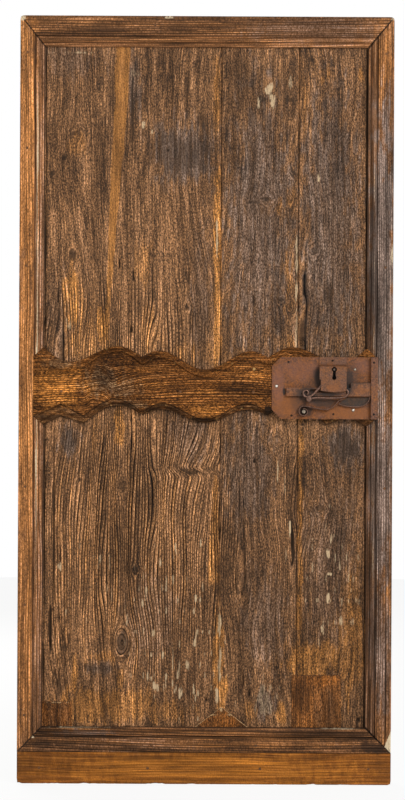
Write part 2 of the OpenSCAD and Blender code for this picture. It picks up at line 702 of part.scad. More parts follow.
module tumbler_pivot() color(iron_rust) place() {
    top = tumbler_low + tumbler_t + run_gap;
    on_lock(tumbler_low - run_gap) translate(on_plate(boss_shares)) circle(pivot_collar_r);
    on_lock(top) translate(on_plate(boss_shares)) circle(pivot_r);
    on_lock(pivot_head_t, top) translate(on_plate(boss_shares)) circle(pivot_head_r);
}
module tumbler_spring() color(iron_dark) place()
    on_lock(spring_h) polygon(strip_outline(tumbler_spring_path, spring_strip_t, spring_strip_t));
module spring_stud() color(iron_bright) place() on_lock(spring_h + stud_rise)
    translate(on_plate(spring_scroll_shares)) circle(spring_stud_r);
module lock_nails() color(iron_dark) place() for (i = [0:len(plate_nail_shares) - 1]) {
    p = on_plate(plate_nail_shares[i]);
    on_cover = p[1] > cover_tab_share * lock_h && p[0] > cover_x_share * lock_w;
    over = p[0] > strap_x ? strap_t : on_cover ? cover_t : 0;
    peg(lock_x + p[0], lock_z + p[1], lock_nail_r, lock_nail_l + plate_t + over - lock_nail_sink,
        frame_t - lock_nail_l);
}
module lock_screws() color(iron_bright) place() for (s = plate_screw_shares) {
    p = on_plate(s);
    peg(lock_x + p[0], lock_z + p[1], screw_r, screw_l + plate_t, frame_t - screw_l);
    translate([lock_x + p[0], -plate_front, lock_z + p[1]]) rotate([90, 0, 0])
        rotate_extrude() polygon(concat([[0, 0]],
            [for (i = [0:bead_steps]) let (a = 90 * i / bead_steps)
                [screw_head_r * cos(a), screw_head_t * sin(a)]]));
}

// Hinges
module hinge_strap_upper() color(iron_dark) place() hinge_strap(hinge_high_z);
module hinge_strap_lower() color(iron_dark) place() hinge_strap(hinge_low_z);
module hinge_nails() color(iron_dark) place() {
    hinge_nail_set(0);
    for (z = [hinge_low_z, hinge_high_z], s = hinge_nail_shares)
        translate([hinge_nail_x(s), plank_t + hinge_t, z]) rotate([-90, 0, 0])
            rotate_extrude() polygon(concat([[0, 0]],
                [for (i = [0:bead_steps]) let (a = 90 * i / bead_steps)
                    [hinge_nail_head_r * cos(a), hinge_nail_head_t * sin(a)]]));
}

plank_left();
plank_middle();
plank_right();
stile_left();
stile_right();
top_rail();
bottom_rail();
middle_rail();
plinth_board();
patch_wedge();
patch_left();
patch_right();
frame_nails();
lock_plate();
lock_front_strap();
keyhole_cover();
key_pin();
lock_bolt();
bolt_guide_stud();
bolt_spring();
tumbler();
tumbler_pivot();
tumbler_spring();
spring_stud();
lock_nails();
lock_screws();
hinge_strap_upper();
hinge_strap_lower();
hinge_nails();
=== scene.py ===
import bpy
import numpy as np
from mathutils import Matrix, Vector


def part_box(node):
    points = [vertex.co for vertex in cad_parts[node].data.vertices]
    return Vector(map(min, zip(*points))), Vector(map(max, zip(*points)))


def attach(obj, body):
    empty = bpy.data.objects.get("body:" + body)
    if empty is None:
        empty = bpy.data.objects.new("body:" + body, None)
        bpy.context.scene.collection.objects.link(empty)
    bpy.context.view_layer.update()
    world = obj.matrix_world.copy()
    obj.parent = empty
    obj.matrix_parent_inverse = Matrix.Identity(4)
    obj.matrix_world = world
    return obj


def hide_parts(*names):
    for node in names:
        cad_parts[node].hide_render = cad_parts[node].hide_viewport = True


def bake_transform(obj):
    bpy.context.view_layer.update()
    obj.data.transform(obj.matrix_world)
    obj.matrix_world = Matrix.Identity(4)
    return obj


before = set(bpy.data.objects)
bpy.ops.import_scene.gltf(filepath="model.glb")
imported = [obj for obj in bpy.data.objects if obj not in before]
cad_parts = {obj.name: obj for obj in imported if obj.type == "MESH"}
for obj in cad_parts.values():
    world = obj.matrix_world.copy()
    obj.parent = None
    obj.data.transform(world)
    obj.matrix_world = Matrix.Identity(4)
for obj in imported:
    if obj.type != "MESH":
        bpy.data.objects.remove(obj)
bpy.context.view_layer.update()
leafCorner = np.array(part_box("plank_left")[0])        # left foot of the planks' front face, in metres


# Lowest and highest corner of a solid in leaf millimetres: x from the left edge, y back from the
# planks' front face, z from the foot
def leafBox(node):
    low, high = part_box(node)
    return (np.array(low) - leafCorner) * 1000, (np.array(high) - leafCorner) * 1000


leafWidth = leafBox("plank_right")[1][0]
leafHeight = leafBox("plank_left")[1][2]
plankThick = leafBox("plank_middle")[1][1]
plinthTop = leafBox("plinth_board")[1][2]
frameThick = -leafBox("stile_left")[0][1]
print("frame loaded: leaf", round(leafWidth), "x", round(leafHeight), "mm")


# ramp from 0 to 1 between two limits with no slope at either end
def smooth(low, high, value):
    t = np.clip((value - low) / (high - low), 0, 1)
    return t * t * (3 - 2 * t)


noiseCells = 256                                      # corners of the noise lattice before it repeats


# value noise from -1 to 1 with patches of a size across and along: random heights on whole-number corners,
# joined by the fifth-power ramp
def latticeNoise(x, z, size, seed):
    table = np.random.default_rng(seed).random((noiseCells, noiseCells)) * 2 - 1
    u, v = x / size[0], z / size[1]
    iu, iv = np.floor(u).astype(int), np.floor(v).astype(int)
    su, sv = (f ** 3 * (f * (f * 6 - 15) + 10) for f in (u - iu, v - iv))
    a, b, c, d = (table[(iu + i) % noiseCells, (iv + j) % noiseCells] for j in (0, 1) for i in (0, 1))
    return (a + (b - a) * su) * (1 - sv) + (c + (d - c) * su) * sv


ovalRim = {"coarse": (7, 26), "fine": (2.5, 9), "fineShare": 0.6, "fade": (0.5, 1.15)}


# strongest of several soft ovals (place across, place along, half width, half length, strength),
# each with a ragged rim
def ovals(x, z, marks, ragged, seed):
    fine = ovalRim["fineShare"] * latticeNoise(x, z, ovalRim["fine"], seed + 1)
    wobble = ragged * (latticeNoise(x, z, ovalRim["coarse"], seed) + fine)
    total = np.zeros(np.broadcast(x, z).shape)
    for cx, cz, halfWide, halfLong, amount in marks:
        away = np.hypot((x - cx) / halfWide, (z - cz) / halfLong) + wobble
        total = np.maximum(total, amount * (1 - smooth(*ovalRim["fade"], away)))
    return total


stainKeys = ("warm", "dark", "pale", "grey")          # the four channels of a stain map
# the dark channel carries dirt and painted shade, the pale one pale marks and painted highlights
warmth, dirtAndShade, paleness, greyness = range(4)


# stain map of a piece: one layer of ovals for each channel
def stainMap(x, z, sheet, seed, ragged=(0.3, 0.3, 0.3, 0.3)):
    return np.stack([ovals(x, z, sheet[key], ragged[k], seed + k) for k, key in enumerate(stainKeys)], -1)


# lifts one channel of a stain map to the amount where it is lower
def raiseStain(stain, channel, amount):
    stain[..., channel] = np.maximum(stain[..., channel], amount)


# bump of height 1 round a centre: e to the power of minus the square of the distance over the reach
def bell(place, centre, reach):
    return np.exp(-((place - centre) / reach) ** 2)


# noises of the grain as sizes across and along it, and how strong each is
grainShape = {
    "drift": (150, 520), "waver": (40, 170), "waverShare": 0.3, "ringDrift": (24, 900), "ringShift": 0.75,
    "sweepBase": 0.28, "sweepTurn": 9, "knotReach": 14, "lateShare": 0.2, "earlyPower": 1.4,
    "wornPatch": (60, 230), "wornMean": 0.8, "wornSpread": 0.45,
    "fibre": (1.9, 34), "fibreDepth": 0.14, "fibreTone": 0.1,
    "blotch": (45, 190), "smallBlotch": (16, 75), "smallShare": 0.6,
    "strengths": 512, "strengthSpan": (0.25, 1.0), "unwornTone": 0.37, "toneSpan": (0.2, 1.6),
}


# Weathered softwood: u runs across the grain and v along it. The ring number is the place across the
# grain, pushed round each knot as water parts round a post and bowed at each sweep (place across, place
# along, half width, reach, shift), with slow waves added, over the ring width. Each ring rises slowly from
# soft early wood to a hard late edge, and the soft part is worn away.
def woodGrain(u, v, wood, knots=(), wear=1.0):
    shape, seed, wander = grainShape, wood["seed"], wood["wander"]

    def noise(key, step):
        return latticeNoise(u, v, shape[key], seed + step)

    bent = u + wander * noise("drift", 0) + shape["waverShare"] * wander * noise("waver", 1)
    for su, sv, halfWide, halfLong, amount in wood.get("sweeps", ()):
        near = np.exp(-((u - su) / halfWide) ** 2 - np.abs(v - sv) / halfLong)
        turn = np.tanh((v - sv) / shape["sweepTurn"])
        bent = bent + amount * near * (shape["sweepBase"] + (1 - shape["sweepBase"]) * turn)
    for ku, kv, halfWide, halfLong in knots:
        off = u - ku
        away = np.hypot(off / halfWide, (v - kv) / halfLong)
        push = np.exp(-np.maximum(away ** 2 - 1, 0) / shape["knotReach"]) / np.maximum(away ** 2, 1)
        bent = bent - off * push + halfWide * np.clip(1 - away, 0, 1)
    ring = bent / wood["ringWidth"] + shape["ringShift"] * noise("ringDrift", 2)
    whole = np.floor(ring).astype(int)
    part = ring - whole
    count, late = shape["strengths"], 1 - shape["lateShare"]
    strength = np.random.default_rng(seed + 3).uniform(*shape["strengthSpan"], count)
    step = smooth(0, 1, part)
    amount = strength[whole % count] * (1 - step) + strength[(whole + 1) % count] * step
    ridge = np.where(part < late, (part / late) ** shape["earlyPower"], (1 - part) / shape["lateShare"])
    valley = amount * (1 - ridge)
    worn = shape["wornMean"] + shape["wornSpread"] * noise("wornPatch", 4)
    fibre = noise("fibre", 5)
    depth = wood["relief"] * (valley * worn * wear + shape["fibreDepth"] * (1 + fibre))
    slow = noise("blotch", 6) + shape["smallShare"] * noise("smallBlotch", 7)
    tone = 1 - wood["shade"] * valley * wear + wood["blotch"] * slow + shape["fibreTone"] * fibre
    level = wood["level"] * (1 - shape["unwornTone"] * (1 - wear))
    return ring, depth, level * np.clip(tone, *shape["toneSpan"])


# quads of a closed ring of points carried over rows, and its two end caps
def tubeFaces(rows, ring, flip=False):
    i = np.arange(rows - 1)[:, None] * ring
    j = np.arange(ring)[None, :]
    k = (j + 1) % ring
    quads = np.stack([i + j, i + k, i + ring + k, i + ring + j], -1).reshape(-1, 4)
    caps = [list(range(ring))[::-1], list(range((rows - 1) * ring, rows * ring))]
    if flip:
        quads, caps = quads[:, ::-1], [cap[::-1] for cap in caps]
    return quads.tolist() + caps


# mesh from leaf millimetres, with the grain map and the stain, tone and wear of every vertex where given
def makePiece(name, points, faces, finish, grain=None, stain=None, tone=None, wear=None, sharp=50):
    mesh = bpy.data.meshes.new(name)
    mesh.from_pydata((points.reshape(-1, 3) / 1000 + leafCorner).tolist(), [], faces)
    if grain is not None:
        corner = np.empty(len(mesh.loops), dtype=np.int32)
        mesh.loops.foreach_get("vertex_index", corner)
        mesh.uv_layers.new(name="grain").data.foreach_set("uv", grain.reshape(-1, 2)[corner].ravel())
        mesh.attributes.new("stain", "FLOAT_COLOR", "POINT").data.foreach_set("color", stain.ravel())
        mesh.attributes.new("tone", "FLOAT", "POINT").data.foreach_set("value", tone.ravel())
        wear = np.ones(tone.shape) if wear is None else wear
        mesh.attributes.new("wear", "FLOAT", "POINT").data.foreach_set("value", wear.ravel())
    mesh.shade_smooth()
    mesh.set_sharp_from_angle(angle=np.radians(sharp))
    mesh.materials.append(finish)
    piece = bpy.data.objects.new(name, mesh)
    bpy.context.collection.objects.link(piece)
    print("  piece", name, len(mesh.polygons), "faces")
    return piece


# lets a piece ride on the leaf and hides the solid it stands for
def seat(piece, node):
    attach(piece, "leaf")
    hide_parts(node)


# A socket with arithmetic: each operator adds a Math node, and node() adds any other kind
class Wire:
    def __init__(self, tree, socket=None):
        self.tree, self.socket = tree, socket

    def node(self, kind, settings=None, sockets=None, out=0):
        made = self.tree.nodes.new("ShaderNode" + kind)
        for key, value in (settings or {}).items():
            setattr(made, key, value)
        for key, value in (sockets or {}).items():
            if isinstance(value, Wire):
                self.tree.links.new(value.socket, made.inputs[key])
            else:
                made.inputs[key].default_value = value
        return Wire(self.tree, made.outputs[out])

    def math(self, kind, first, second=0.0):
        return self.node("Math", {"operation": kind}, {0: first, 1: second})

    def __add__(self, other):
        return self.math("ADD", self, other)

    def __radd__(self, other):
        return self.math("ADD", other, self)

    def __sub__(self, other):
        return self.math("SUBTRACT", self, other)

    def __rsub__(self, other):
        return self.math("SUBTRACT", other, self)

    def __mul__(self, other):
        return self.math("MULTIPLY", self, other)

    def __rmul__(self, other):
        return self.math("MULTIPLY", other, self)

    def __truediv__(self, other):
        return self.math("DIVIDE", self, other)

    def __pow__(self, other):
        return self.math("POWER", self, other)

    def feed(self, shader, key):                      # joins this wire to an input of a shader
        self.tree.links.new(self.socket, shader.inputs[key])

    def rise(self, low, high):                        # soft step from 0 to 1 between two levels
        return self.node("MapRange", {"interpolation_type": "SMOOTHSTEP"}, {0: self, 1: low, 2: high})

    def mix(self, first, second):                     # colour mix with this wire as the factor
        return self.node("Mix", {"data_type": "RGBA"}, {0: self, 6: first, 7: second}, 2)

    def scaled(self, level):                          # colour times a value
        return self.node("VectorMath", {"operation": "SCALE"}, {0: self, 3: level})

    def noise(self, place, scale, detail=3.0, rough=0.6, flat=False):
        return self.node("TexNoise", {"noise_dimensions": "2D" if flat else "3D"},
                         {"Vector": place, "Scale": scale, "Detail": detail, "Roughness": rough})


# linear colour from a written sRGB colour
def paint(code):
    parts = np.array([int(code[k:k + 2], 16) for k in (0, 2, 4)]) / 255
    return (*np.where(parts <= 0.04045, parts / 12.92, ((parts + 0.055) / 1.055) ** 2.4).tolist(), 1)


def newFinish(name):
    finish = bpy.data.materials.new(name)
    finish.use_nodes = True
    return finish, finish.node_tree.nodes["Principled BSDF"], Wire(finish.node_tree)


woodLook = {
    "fibreAcross": 2.6, "fibreAlong": 2.4,            # fibres per ring, and per 100 mm of length
    "streakAcross": 0.6, "streakAlong": 0.5, "speckScale": 400.0, "speckShape": (1.0, 1.0, 0.5),
    "noiseSpan": (0.27, 0.73),                        # part of each noise that is spread from 0 to 1
    "valleyFrom": 0.4, "valleyDepth": 1.05, "edgeFibre": 0.35, "edgeSpeck": 0.3,
    "fibreSpread": 0.9, "speckSpread": 1.2, "streakSpread": 0.55, "calmLeast": 0.5, "calmWear": 0.35,
    "warmRing": 0.3, "warmStreak": 0.22, "greySpeck": 0.4, "greyStreak": 0.3,
    "darkSpan": (0.05, 1.1), "paleSpan": (0.25, 0.9), "lightTop": 1.2,
    # a base value and the shares of two noises that are added to it
    "valleyMix": (0.3, 0.6, 0.5), "darkMix": (0.5, 0.4, 0.4), "paleMix": (0.5, 0.6, 0.4),
    "roughMix": (0.42, 0.3, 0.3), "heightFibre": 0.5, "heightValley": 0.8, "heightSpeck": 0.4,
    "bump": 0.8, "bumpDeep": 0.0014, "shine": 0.16, "contrast": 1.85, "gain": 1.08,
}


# Stained and waxed wood: the fraction of the ring number draws a dark valley at each ring's edge, each whole
# ring has its own depth of colour, and long thin noise follows the bent grain. The stain map tints it warm,
# dark, pale or grey.
def woodFinish(name, colours, **change):
    look = woodLook | change
    finish, shader, wire = newFinish(name)
    axes = wire.node("SeparateXYZ", None, {0: wire.node("UVMap", {"uv_map": "grain"})}).socket.node.outputs
    ring, along = Wire(wire.tree, axes[0]), Wire(wire.tree, axes[1])
    stain = wire.node("Attribute", {"attribute_name": "stain"})
    greyPart = Wire(wire.tree, stain.socket.node.outputs["Alpha"])
    tints = wire.node("SeparateColor", None, {0: stain}).socket.node.outputs
    warmPart, darkPart, palePart = (Wire(wire.tree, tints[k]) for k in range(3))
    tone = wire.node("Attribute", {"attribute_name": "tone"}, None, "Fac")
    wear = wire.node("Attribute", {"attribute_name": "wear"}, None, "Fac")
    part = wire.math("FRACT", ring)
    ringShade = wire.node("TexWhiteNoise", {"noise_dimensions": "1D"}, {"W": ring - part})

    def grainNoise(across, lengthwise, detail):       # noise that follows the grain, spread from 0 to 1
        place = wire.node("CombineXYZ", None, {0: ring * across, 1: along * lengthwise})
        return wire.noise(place, 1.0, detail, 0.7, True).rise(*look["noiseSpan"])

    def mixed(key, first, second):
        base, firstShare, secondShare = look[key]
        return base + firstShare * first + secondShare * second

    fibre = grainNoise(look["fibreAcross"], look["fibreAlong"], 4.0)
    streak = grainNoise(look["streakAcross"], look["streakAlong"], 2.0)
    place = wire.node("TexCoord", None, None, "Object")
    place = wire.node("Mapping", None, {0: place, 3: look["speckShape"]})
    speck = wire.noise(place, look["speckScale"], 2.0, 0.7).rise(*look["noiseSpan"])
    edge = 2 * wire.math("ABSOLUTE", part - 0.5)
    edge = edge + look["edgeFibre"] * (fibre - 0.5) + look["edgeSpeck"] * (speck - 0.5)
    valley = wear * edge.rise(look["valleyFrom"], 1.0) * mixed("valleyMix", ringShade, streak)
    least = look["calmLeast"]                         # smooth resin wood shows less of the noise
    calm = least + (1 - least) * wear.rise(0.0, look["calmWear"])
    light = tone * (look["lightTop"] - look["valleyDepth"] * valley).rise(0.0, 1.0)
    light = light * (look["lightTop"] + look["fibreSpread"] * calm * (fibre - 0.5))
    light = light * (1 + look["speckSpread"] * calm * (speck - 0.5))
    light = light * (1 + look["streakSpread"] * calm * (streak - 0.5))
    light = look["gain"] * light ** look["contrast"]
    warmer = warmPart + look["warmRing"] * (ringShade - 0.5) + look["warmStreak"] * (streak - 0.5)
    greyer = greyPart + look["greySpeck"] * (speck - 0.5) + look["greyStreak"] * (streak - 0.5)
    body = warmer.rise(0.0, 1.0).mix(colours["brown"], colours["warm"])
    body = greyer.rise(0.0, 1.0).mix(body, colours["grey"])
    body = body.scaled(light)
    body = (darkPart * mixed("darkMix", fibre, speck)).rise(*look["darkSpan"]).mix(body, colours["dark"])
    body = (palePart * mixed("paleMix", fibre, speck)).rise(*look["paleSpan"]).mix(body, colours["pale"])
    body.feed(shader, "Base Color")
    mixed("roughMix", valley, fibre).feed(shader, "Roughness")
    height = fibre * look["heightFibre"] - valley * look["heightValley"] + speck * look["heightSpeck"]
    bump = wire.node("Bump", None, {"Strength": look["bump"], "Distance": look["bumpDeep"], "Height": height})
    bump.feed(shader, "Normal")
    shader.inputs["Specular IOR Level"].default_value = look["shine"]
    return finish


woodTints = ("brown", "warm", "grey", "dark", "pale")


def woodColours(*codes):
    return dict(zip(woodTints, map(paint, codes)))


plankWood = woodFinish("plankWood", woodColours("865f3e", "b77b3f", "69584d", "22180f", "cdb08a"))
frameWood = woodFinish("frameWood", woodColours("8e5f39", "ba7a41", "8a7467", "2a1d14", "e6cfaa"),
                       fibreAcross=2.4, fibreAlong=0.7, valleyDepth=0.75, fibreSpread=0.6, speckSpread=0.7,
                       contrast=1.9, gain=1.0)
railWood = woodFinish("railWood", woodColours("6c411b", "9c622a", "5c4d3a", "1b130d", "c59d62"),
                      fibreAcross=2.2, fibreAlong=1.2, valleyDepth=0.8, contrast=2.0, shine=0.1,
                      speckShape=(0.5, 1.0, 1.0))
plinthWood = woodFinish("plinthWood", woodColours("8a521d", "ae6c26", "6a5238", "2a1c10", "d0a468"),
                        fibreAcross=2.4, fibreAlong=0.6, valleyDepth=0.4, fibreSpread=0.45,
                        speckSpread=0.5, contrast=1.25)
patchWood = woodFinish("patchWood", woodColours("6e4522", "8a511d", "5a4939", "22170f", "d0ab7c"),
                       valleyDepth=0.5, fibreSpread=0.7)
print("wood finishes made")


panel = {
    "left": dict(seed=11, level=0.97, ringWidth=6.4, wander=26, relief=1.0, shade=0.5, blotch=0.17,
                 sweeps=[(420, 752, 62, 42, 34)]),
    "middle": dict(seed=31, level=0.92, ringWidth=5.8, wander=34, relief=0.6, shade=0.42, blotch=0.17),
    "right": dict(seed=51, level=0.845, ringWidth=6.2, wander=40, relief=0.55, shade=0.42, blotch=0.18),
    "back": dict(seed=71, level=0.8, ringWidth=9.0, wander=30, relief=0.3, shade=0.0, blotch=0.14),
    "backLight": {"left": 1.0, "middle": 0.9, "right": 1.06}, "backDirt": 0.9, "backGrey": 0.35,
    "backRound": 1.4, "seamGap": 1.2, "seamReach": 2.5, "tongueReach": 8.0, "tongueFront": 8.5,
    "tongueBack": 16.5, "tongueGap": 0.3,
    # columns of the mesh over the front, at its edges and over the back; rows under the frame and the rail
    "columnStep": 1.5, "coarseStep": 12.6, "fineMargin": 4, "edgeColumn": 0.5, "leastColumn": 0.3,
    "backStep": 18.0, "backColumns": (1.5, 4, 9),
    "rowStep": 6.0, "footRows": (0, 40, 90), "rowMargin": (8, 4), "headRow": 40,
    "underRail": (54, -60), "underRows": 9,
    "edgeRound": 1.6, "edgeReach": 1.2, "endFade": 60, "patchSink": 2.2,
    # groove along the frame's lip: place from the left and right lip, half width, fade, noise with its level
    # and spread, depth, and the painted shade and dirt in it
    "lipPlace": (2.4, 1.6), "lipGroove": 2.6, "lipFade": (0.5, 1.2), "lipNoise": (30, 60),
    "lipLevel": (0.8, 0.3), "lipDeep": 3, "lipShadeAndDirt": 0.9,
    # ragged rims of the stains' four channels, of the cracks and of soft areas
    "ragged": (0.3, 0.3, 0.55, 0.4), "crackRim": 0.12, "softRim": 0.2, "crackDirt": (0.5, 0.95),
    # knots: x, z, half width, half length
    "knots": [(132, 1567, 10, 13), (105, 1506, 6, 10), (77, 1468, 6, 10), (126, 1272, 12, 22),
        (404, 1150, 7, 10), (250, 715, 10, 20), (252, 338, 20, 38), (283, 513, 8, 12), (512, 1533, 8, 10),
        (650, 1672, 12, 62), (592, 1408, 20, 12), (652, 1418, 11, 34), (630, 1167, 12, 15),
        (654, 1150, 10, 12), (617, 826, 15, 22), (713, 1288, 10, 12), (727, 665, 17, 12), (660, 569, 7, 58)],
    # stains and flakes: x, z, half width, half length, strength
    "warm": [(474, 1655, 11, 95, 0.6), (477, 1285, 11, 290, 0.9), (477, 1060, 12, 85, 0.8),
        (474, 640, 10, 150, 0.6), (470, 540, 16, 95, 0.6), (122, 1165, 24, 90, 0.8), (202, 1105, 19, 53, 1),
        (152, 1080, 38, 95, 0.45), (297, 1260, 24, 70, 0.4), (242, 865, 14, 70, 0.8),
        (185, 840, 19, 70, 0.4), (250, 190, 110, 48, 0.6), (248, 250, 12, 34, 0.7), (138, 250, 8, 72, 0.8),
        (714, 300, 84, 56, 1), (722, 196, 70, 66, 0.6), (680, 800, 8, 95, 0.8), (681, 680, 8, 95, 1),
        (680, 540, 8, 120, 0.8), (680, 400, 11, 85, 0.9), (644, 1225, 18, 95, 0.5), (650, 1057, 18, 29, 0.5),
        (821, 1710, 9, 19, 0.7), (634, 174, 17, 34, 0.8), (566, 174, 24, 29, 0.5), (494, 220, 14, 48, 0.9),
        (134, 1540, 24, 34, 0.5), (342, 684, 48, 72, 0.25), (315, 1090, 34, 72, 0.35),
        (732, 1706, 19, 24, 0.5), (690, 1646, 24, 96, 0.3), (162, 540, 22, 145, 0.3),
        (250, 560, 210, 330, 0.22), (160, 1050, 100, 40, 0.4), (420, 1035, 110, 36, 0.4),
        (803, 370, 36, 190, 0.7), (176, 186, 100, 54, 0.75), (350, 172, 90, 30, 0.5),
        (205, 304, 44, 14, 0.5), (484, 310, 16, 130, 0.75), (600, 1390, 36, 24, 0.5),
        (652, 1418, 12, 36, 0.35)],
    "dark": [(385, 1516, 88, 68, 0.6), (340, 1535, 40, 50, 0.5), (269, 1634, 5, 110, 0.7),
        (221, 1665, 4, 67, 0.45), (126, 1273, 14, 24, 0.8), (177, 1268, 14, 10, 0.45),
        (179, 1324, 12, 10, 0.45), (132, 1567, 11, 10, 0.8), (105, 1506, 7, 10, 0.95),
        (77, 1468, 6, 10, 0.85), (603, 1655, 7, 17, 0.8), (648, 1650, 11, 10, 0.75), (512, 1533, 8, 6, 0.6),
        (701, 1747, 7, 10, 0.7), (440, 1600, 16, 30, 0.55), (592, 1410, 18, 5, 0.85),
        (566, 1402, 20, 5, 0.7), (585, 1650, 22, 6, 0.8), (748, 1182, 14, 38, 0.65), (713, 1288, 11, 7, 0.6),
        (630, 1167, 12, 12, 0.5), (652, 1148, 12, 10, 0.45), (124, 826, 24, 41, 0.6),
        (250, 715, 10, 16, 0.6), (374, 768, 12, 10, 0.55), (394, 757, 16, 8, 0.75), (424, 750, 26, 8, 0.8),
        (452, 757, 14, 6, 0.6), (246, 544, 24, 132, 0.4), (283, 513, 6, 8, 0.75), (195, 641, 10, 7, 0.45),
        (252, 338, 24, 40, 0.74), (247, 417, 19, 22, 0.5), (180, 275, 32, 9, 0.55), (222, 275, 30, 9, 0.55),
        (239, 255, 6, 22, 0.5), (163, 282, 5, 7, 0.8), (176, 186, 100, 54, 0.4), (188, 333, 22, 14, 0.4),
        (99, 227, 12, 36, 0.6), (786, 814, 41, 53, 0.65), (727, 665, 19, 6, 0.7), (617, 826, 14, 17, 0.35),
        (562, 504, 22, 12, 0.5), (811, 708, 19, 82, 0.4), (689, 227, 12, 17, 0.55), (324, 1603, 12, 43, 0.3),
        (404, 1146, 7, 6, 0.7), (508, 1093, 12, 84, 0.4), (514, 852, 19, 48, 0.3),
        (447, 1237, 10, 190, 0.35), (575, 1670, 95, 100, 0.4), (772, 1093, 24, 72, 0.3),
        (587, 636, 24, 144, 0.2), (426, 1093, 14, 72, 0.3), (321, 203, 22, 19, 0.3)],
    "pale": [(133, 1763, 75, 3, 0.75), (606, 1650, 8, 24, 0.9), (598, 1676, 11, 14, 0.8),
        (576, 1640, 8, 14, 0.7), (650, 1690, 7, 26, 0.6), (572, 1634, 5, 14, 0.5), (475, 1300, 3, 60, 0.85),
        (430, 446, 4, 10, 1), (425, 415, 4, 12, 0.9), (322, 311, 3, 10, 1), (349, 306, 3, 12, 1),
        (322, 251, 4, 6, 1), (329, 238, 3, 12, 0.9), (337, 231, 4, 9, 0.8), (374, 241, 3, 15, 1),
        (379, 221, 4, 17, 1), (390, 214, 4, 12, 1), (397, 224, 2.5, 16, 0.8), (424, 226, 3, 16, 0.9),
        (436, 216, 3, 12, 0.7), (352, 232, 2.5, 14, 0.6), (300, 434, 3, 10, 0.9), (100, 525, 5, 14, 0.8),
        (115, 415, 3, 12, 0.8), (198, 540, 5, 14, 0.6), (379, 566, 4, 19, 0.9), (343, 525, 4, 14, 0.8),
        (441, 576, 3, 12, 0.8), (754, 585, 3, 14, 0.9), (747, 559, 5, 12, 1), (710, 590, 3, 10, 0.9),
        (751, 672, 5, 10, 0.9), (749, 506, 7, 6, 1), (747, 448, 6, 12, 1), (733, 376, 3, 12, 1),
        (779, 395, 4, 12, 0.7), (625, 761, 3, 24, 0.8), (642, 727, 3, 29, 0.7), (487, 395, 4, 40, 0.9),
        (487, 294, 5, 70, 0.8), (480, 214, 7, 22, 1), (600, 193, 29, 43, 0.5), (298, 1588, 4, 10, 0.8),
        (317, 1571, 5, 7, 0.8), (278, 1711, 12, 14, 0.45), (719, 1463, 3, 10, 0.9), (668, 1256, 3, 96, 0.75),
        (668, 1093, 3, 60, 0.6), (120, 1105, 7, 19, 0.6), (655, 619, 3, 24, 1), (646, 549, 4, 19, 0.5),
        (262, 391, 3, 24, 0.7)],
    "grey": [(578, 1333, 96, 385, 0.55), (747, 1333, 87, 410, 0.55), (390, 1525, 88, 86, 0.6),
        (786, 811, 48, 72, 0.6), (204, 272, 48, 18, 0.45), (252, 338, 20, 34, 0.3),
        (558, 756, 72, 168, 0.45), (752, 540, 82, 240, 0.35), (120, 823, 29, 48, 0.6),
        (99, 1093, 34, 144, 0.3), (435, 1165, 29, 216, 0.35), (413, 828, 60, 72, 0.35),
        (276, 1670, 19, 96, 0.5), (119, 1742, 96, 48, 0.35), (596, 395, 60, 144, 0.4),
        (320, 395, 72, 120, 0.3), (600, 191, 34, 48, 0.6)],
    # cracks and holes: x, z, half width, half length, depth
    "cracks": [(93, 1175, 2, 24, 3), (274, 1223, 3, 17, 4), (240, 1252, 2, 14, 3), (270, 1093, 4, 10, 5),
        (123, 1098, 3, 6, 4), (408, 1223, 2, 29, 2), (565, 1167, 2, 17, 3), (675, 1133, 3, 3, 5),
        (85, 636, 2, 250, 3), (147, 730, 3, 7, 3), (197, 713, 3, 5, 3), (78, 371, 4, 65, 4),
        (568, 778, 4, 6, 5), (662, 569, 4, 53, 3), (544, 251, 2, 31, 3), (559, 217, 3, 10, 4),
        (591, 222, 3, 10, 4), (455, 201, 4, 6, 4), (823, 155, 4, 7, 4), (133, 1651, 3, 4, 4),
        (356, 1526, 4, 4, 3)],
    # insect damage: x, z, half width, half length; then the holes' sizes, depth and dirt
    "wormZone": (100, 320, 34, 125), "wormFade": (0.6, 1.1), "wormSize": (5, 22), "wormFine": (2.4, 7),
    "wormSpan": (0.25, 0.6), "wormFineShare": 0.5, "wormDeep": 3, "wormDirt": 0.8,
    # where the soft wood is worn deep; the rest keeps the lowest wear
    "worn": [(250, 1060, 260, 210, 1.0), (290, 600, 300, 420, 1.1), (690, 1090, 40, 200, 0.8),
        (660, 620, 60, 220, 0.8)],
    "wornLeast": 0.4,
    # resin streak that follows the grain: z, x, half width, strength
    "streak": [(1050, 211, 5, 0.0), (1141, 214, 6, 0.6), (1254, 219, 8, 0.85), (1380, 226, 11, 0.95),
        (1461, 231, 14, 1), (1582, 240, 17, 1), (1663, 243, 17, 1), (1768, 247, 19, 1), (1848, 249, 19, 1)],
    "streakLight": 1.13, "streakRagged": 0.12, "streakNoise": (6, 40), "streakFade": (0.75, 1.05),
    # where small pale flakes lie
    "flakes": [(380, 330, 150, 260, 1.0), (760, 470, 90, 190, 0.9), (200, 480, 120, 160, 0.7),
        (600, 230, 120, 110, 0.6)],
    "flakeSize": (5.5, 26), "flakeSpan": (0.52, 0.85), "flakePale": 0.68, "markPale": 0.9,
}

stileLeftWide = leafBox("stile_left")[1][0]
stileRightWide = leafWidth - leafBox("stile_right")[0][0]
topRailWide = leafHeight - leafBox("top_rail")[0][2]
bottomRailTop = leafBox("bottom_rail")[1][2]
panelLow, panelHigh = bottomRailTop, leafHeight - topRailWide
panelLeft, panelRight = stileLeftWide, leafWidth - stileRightWide


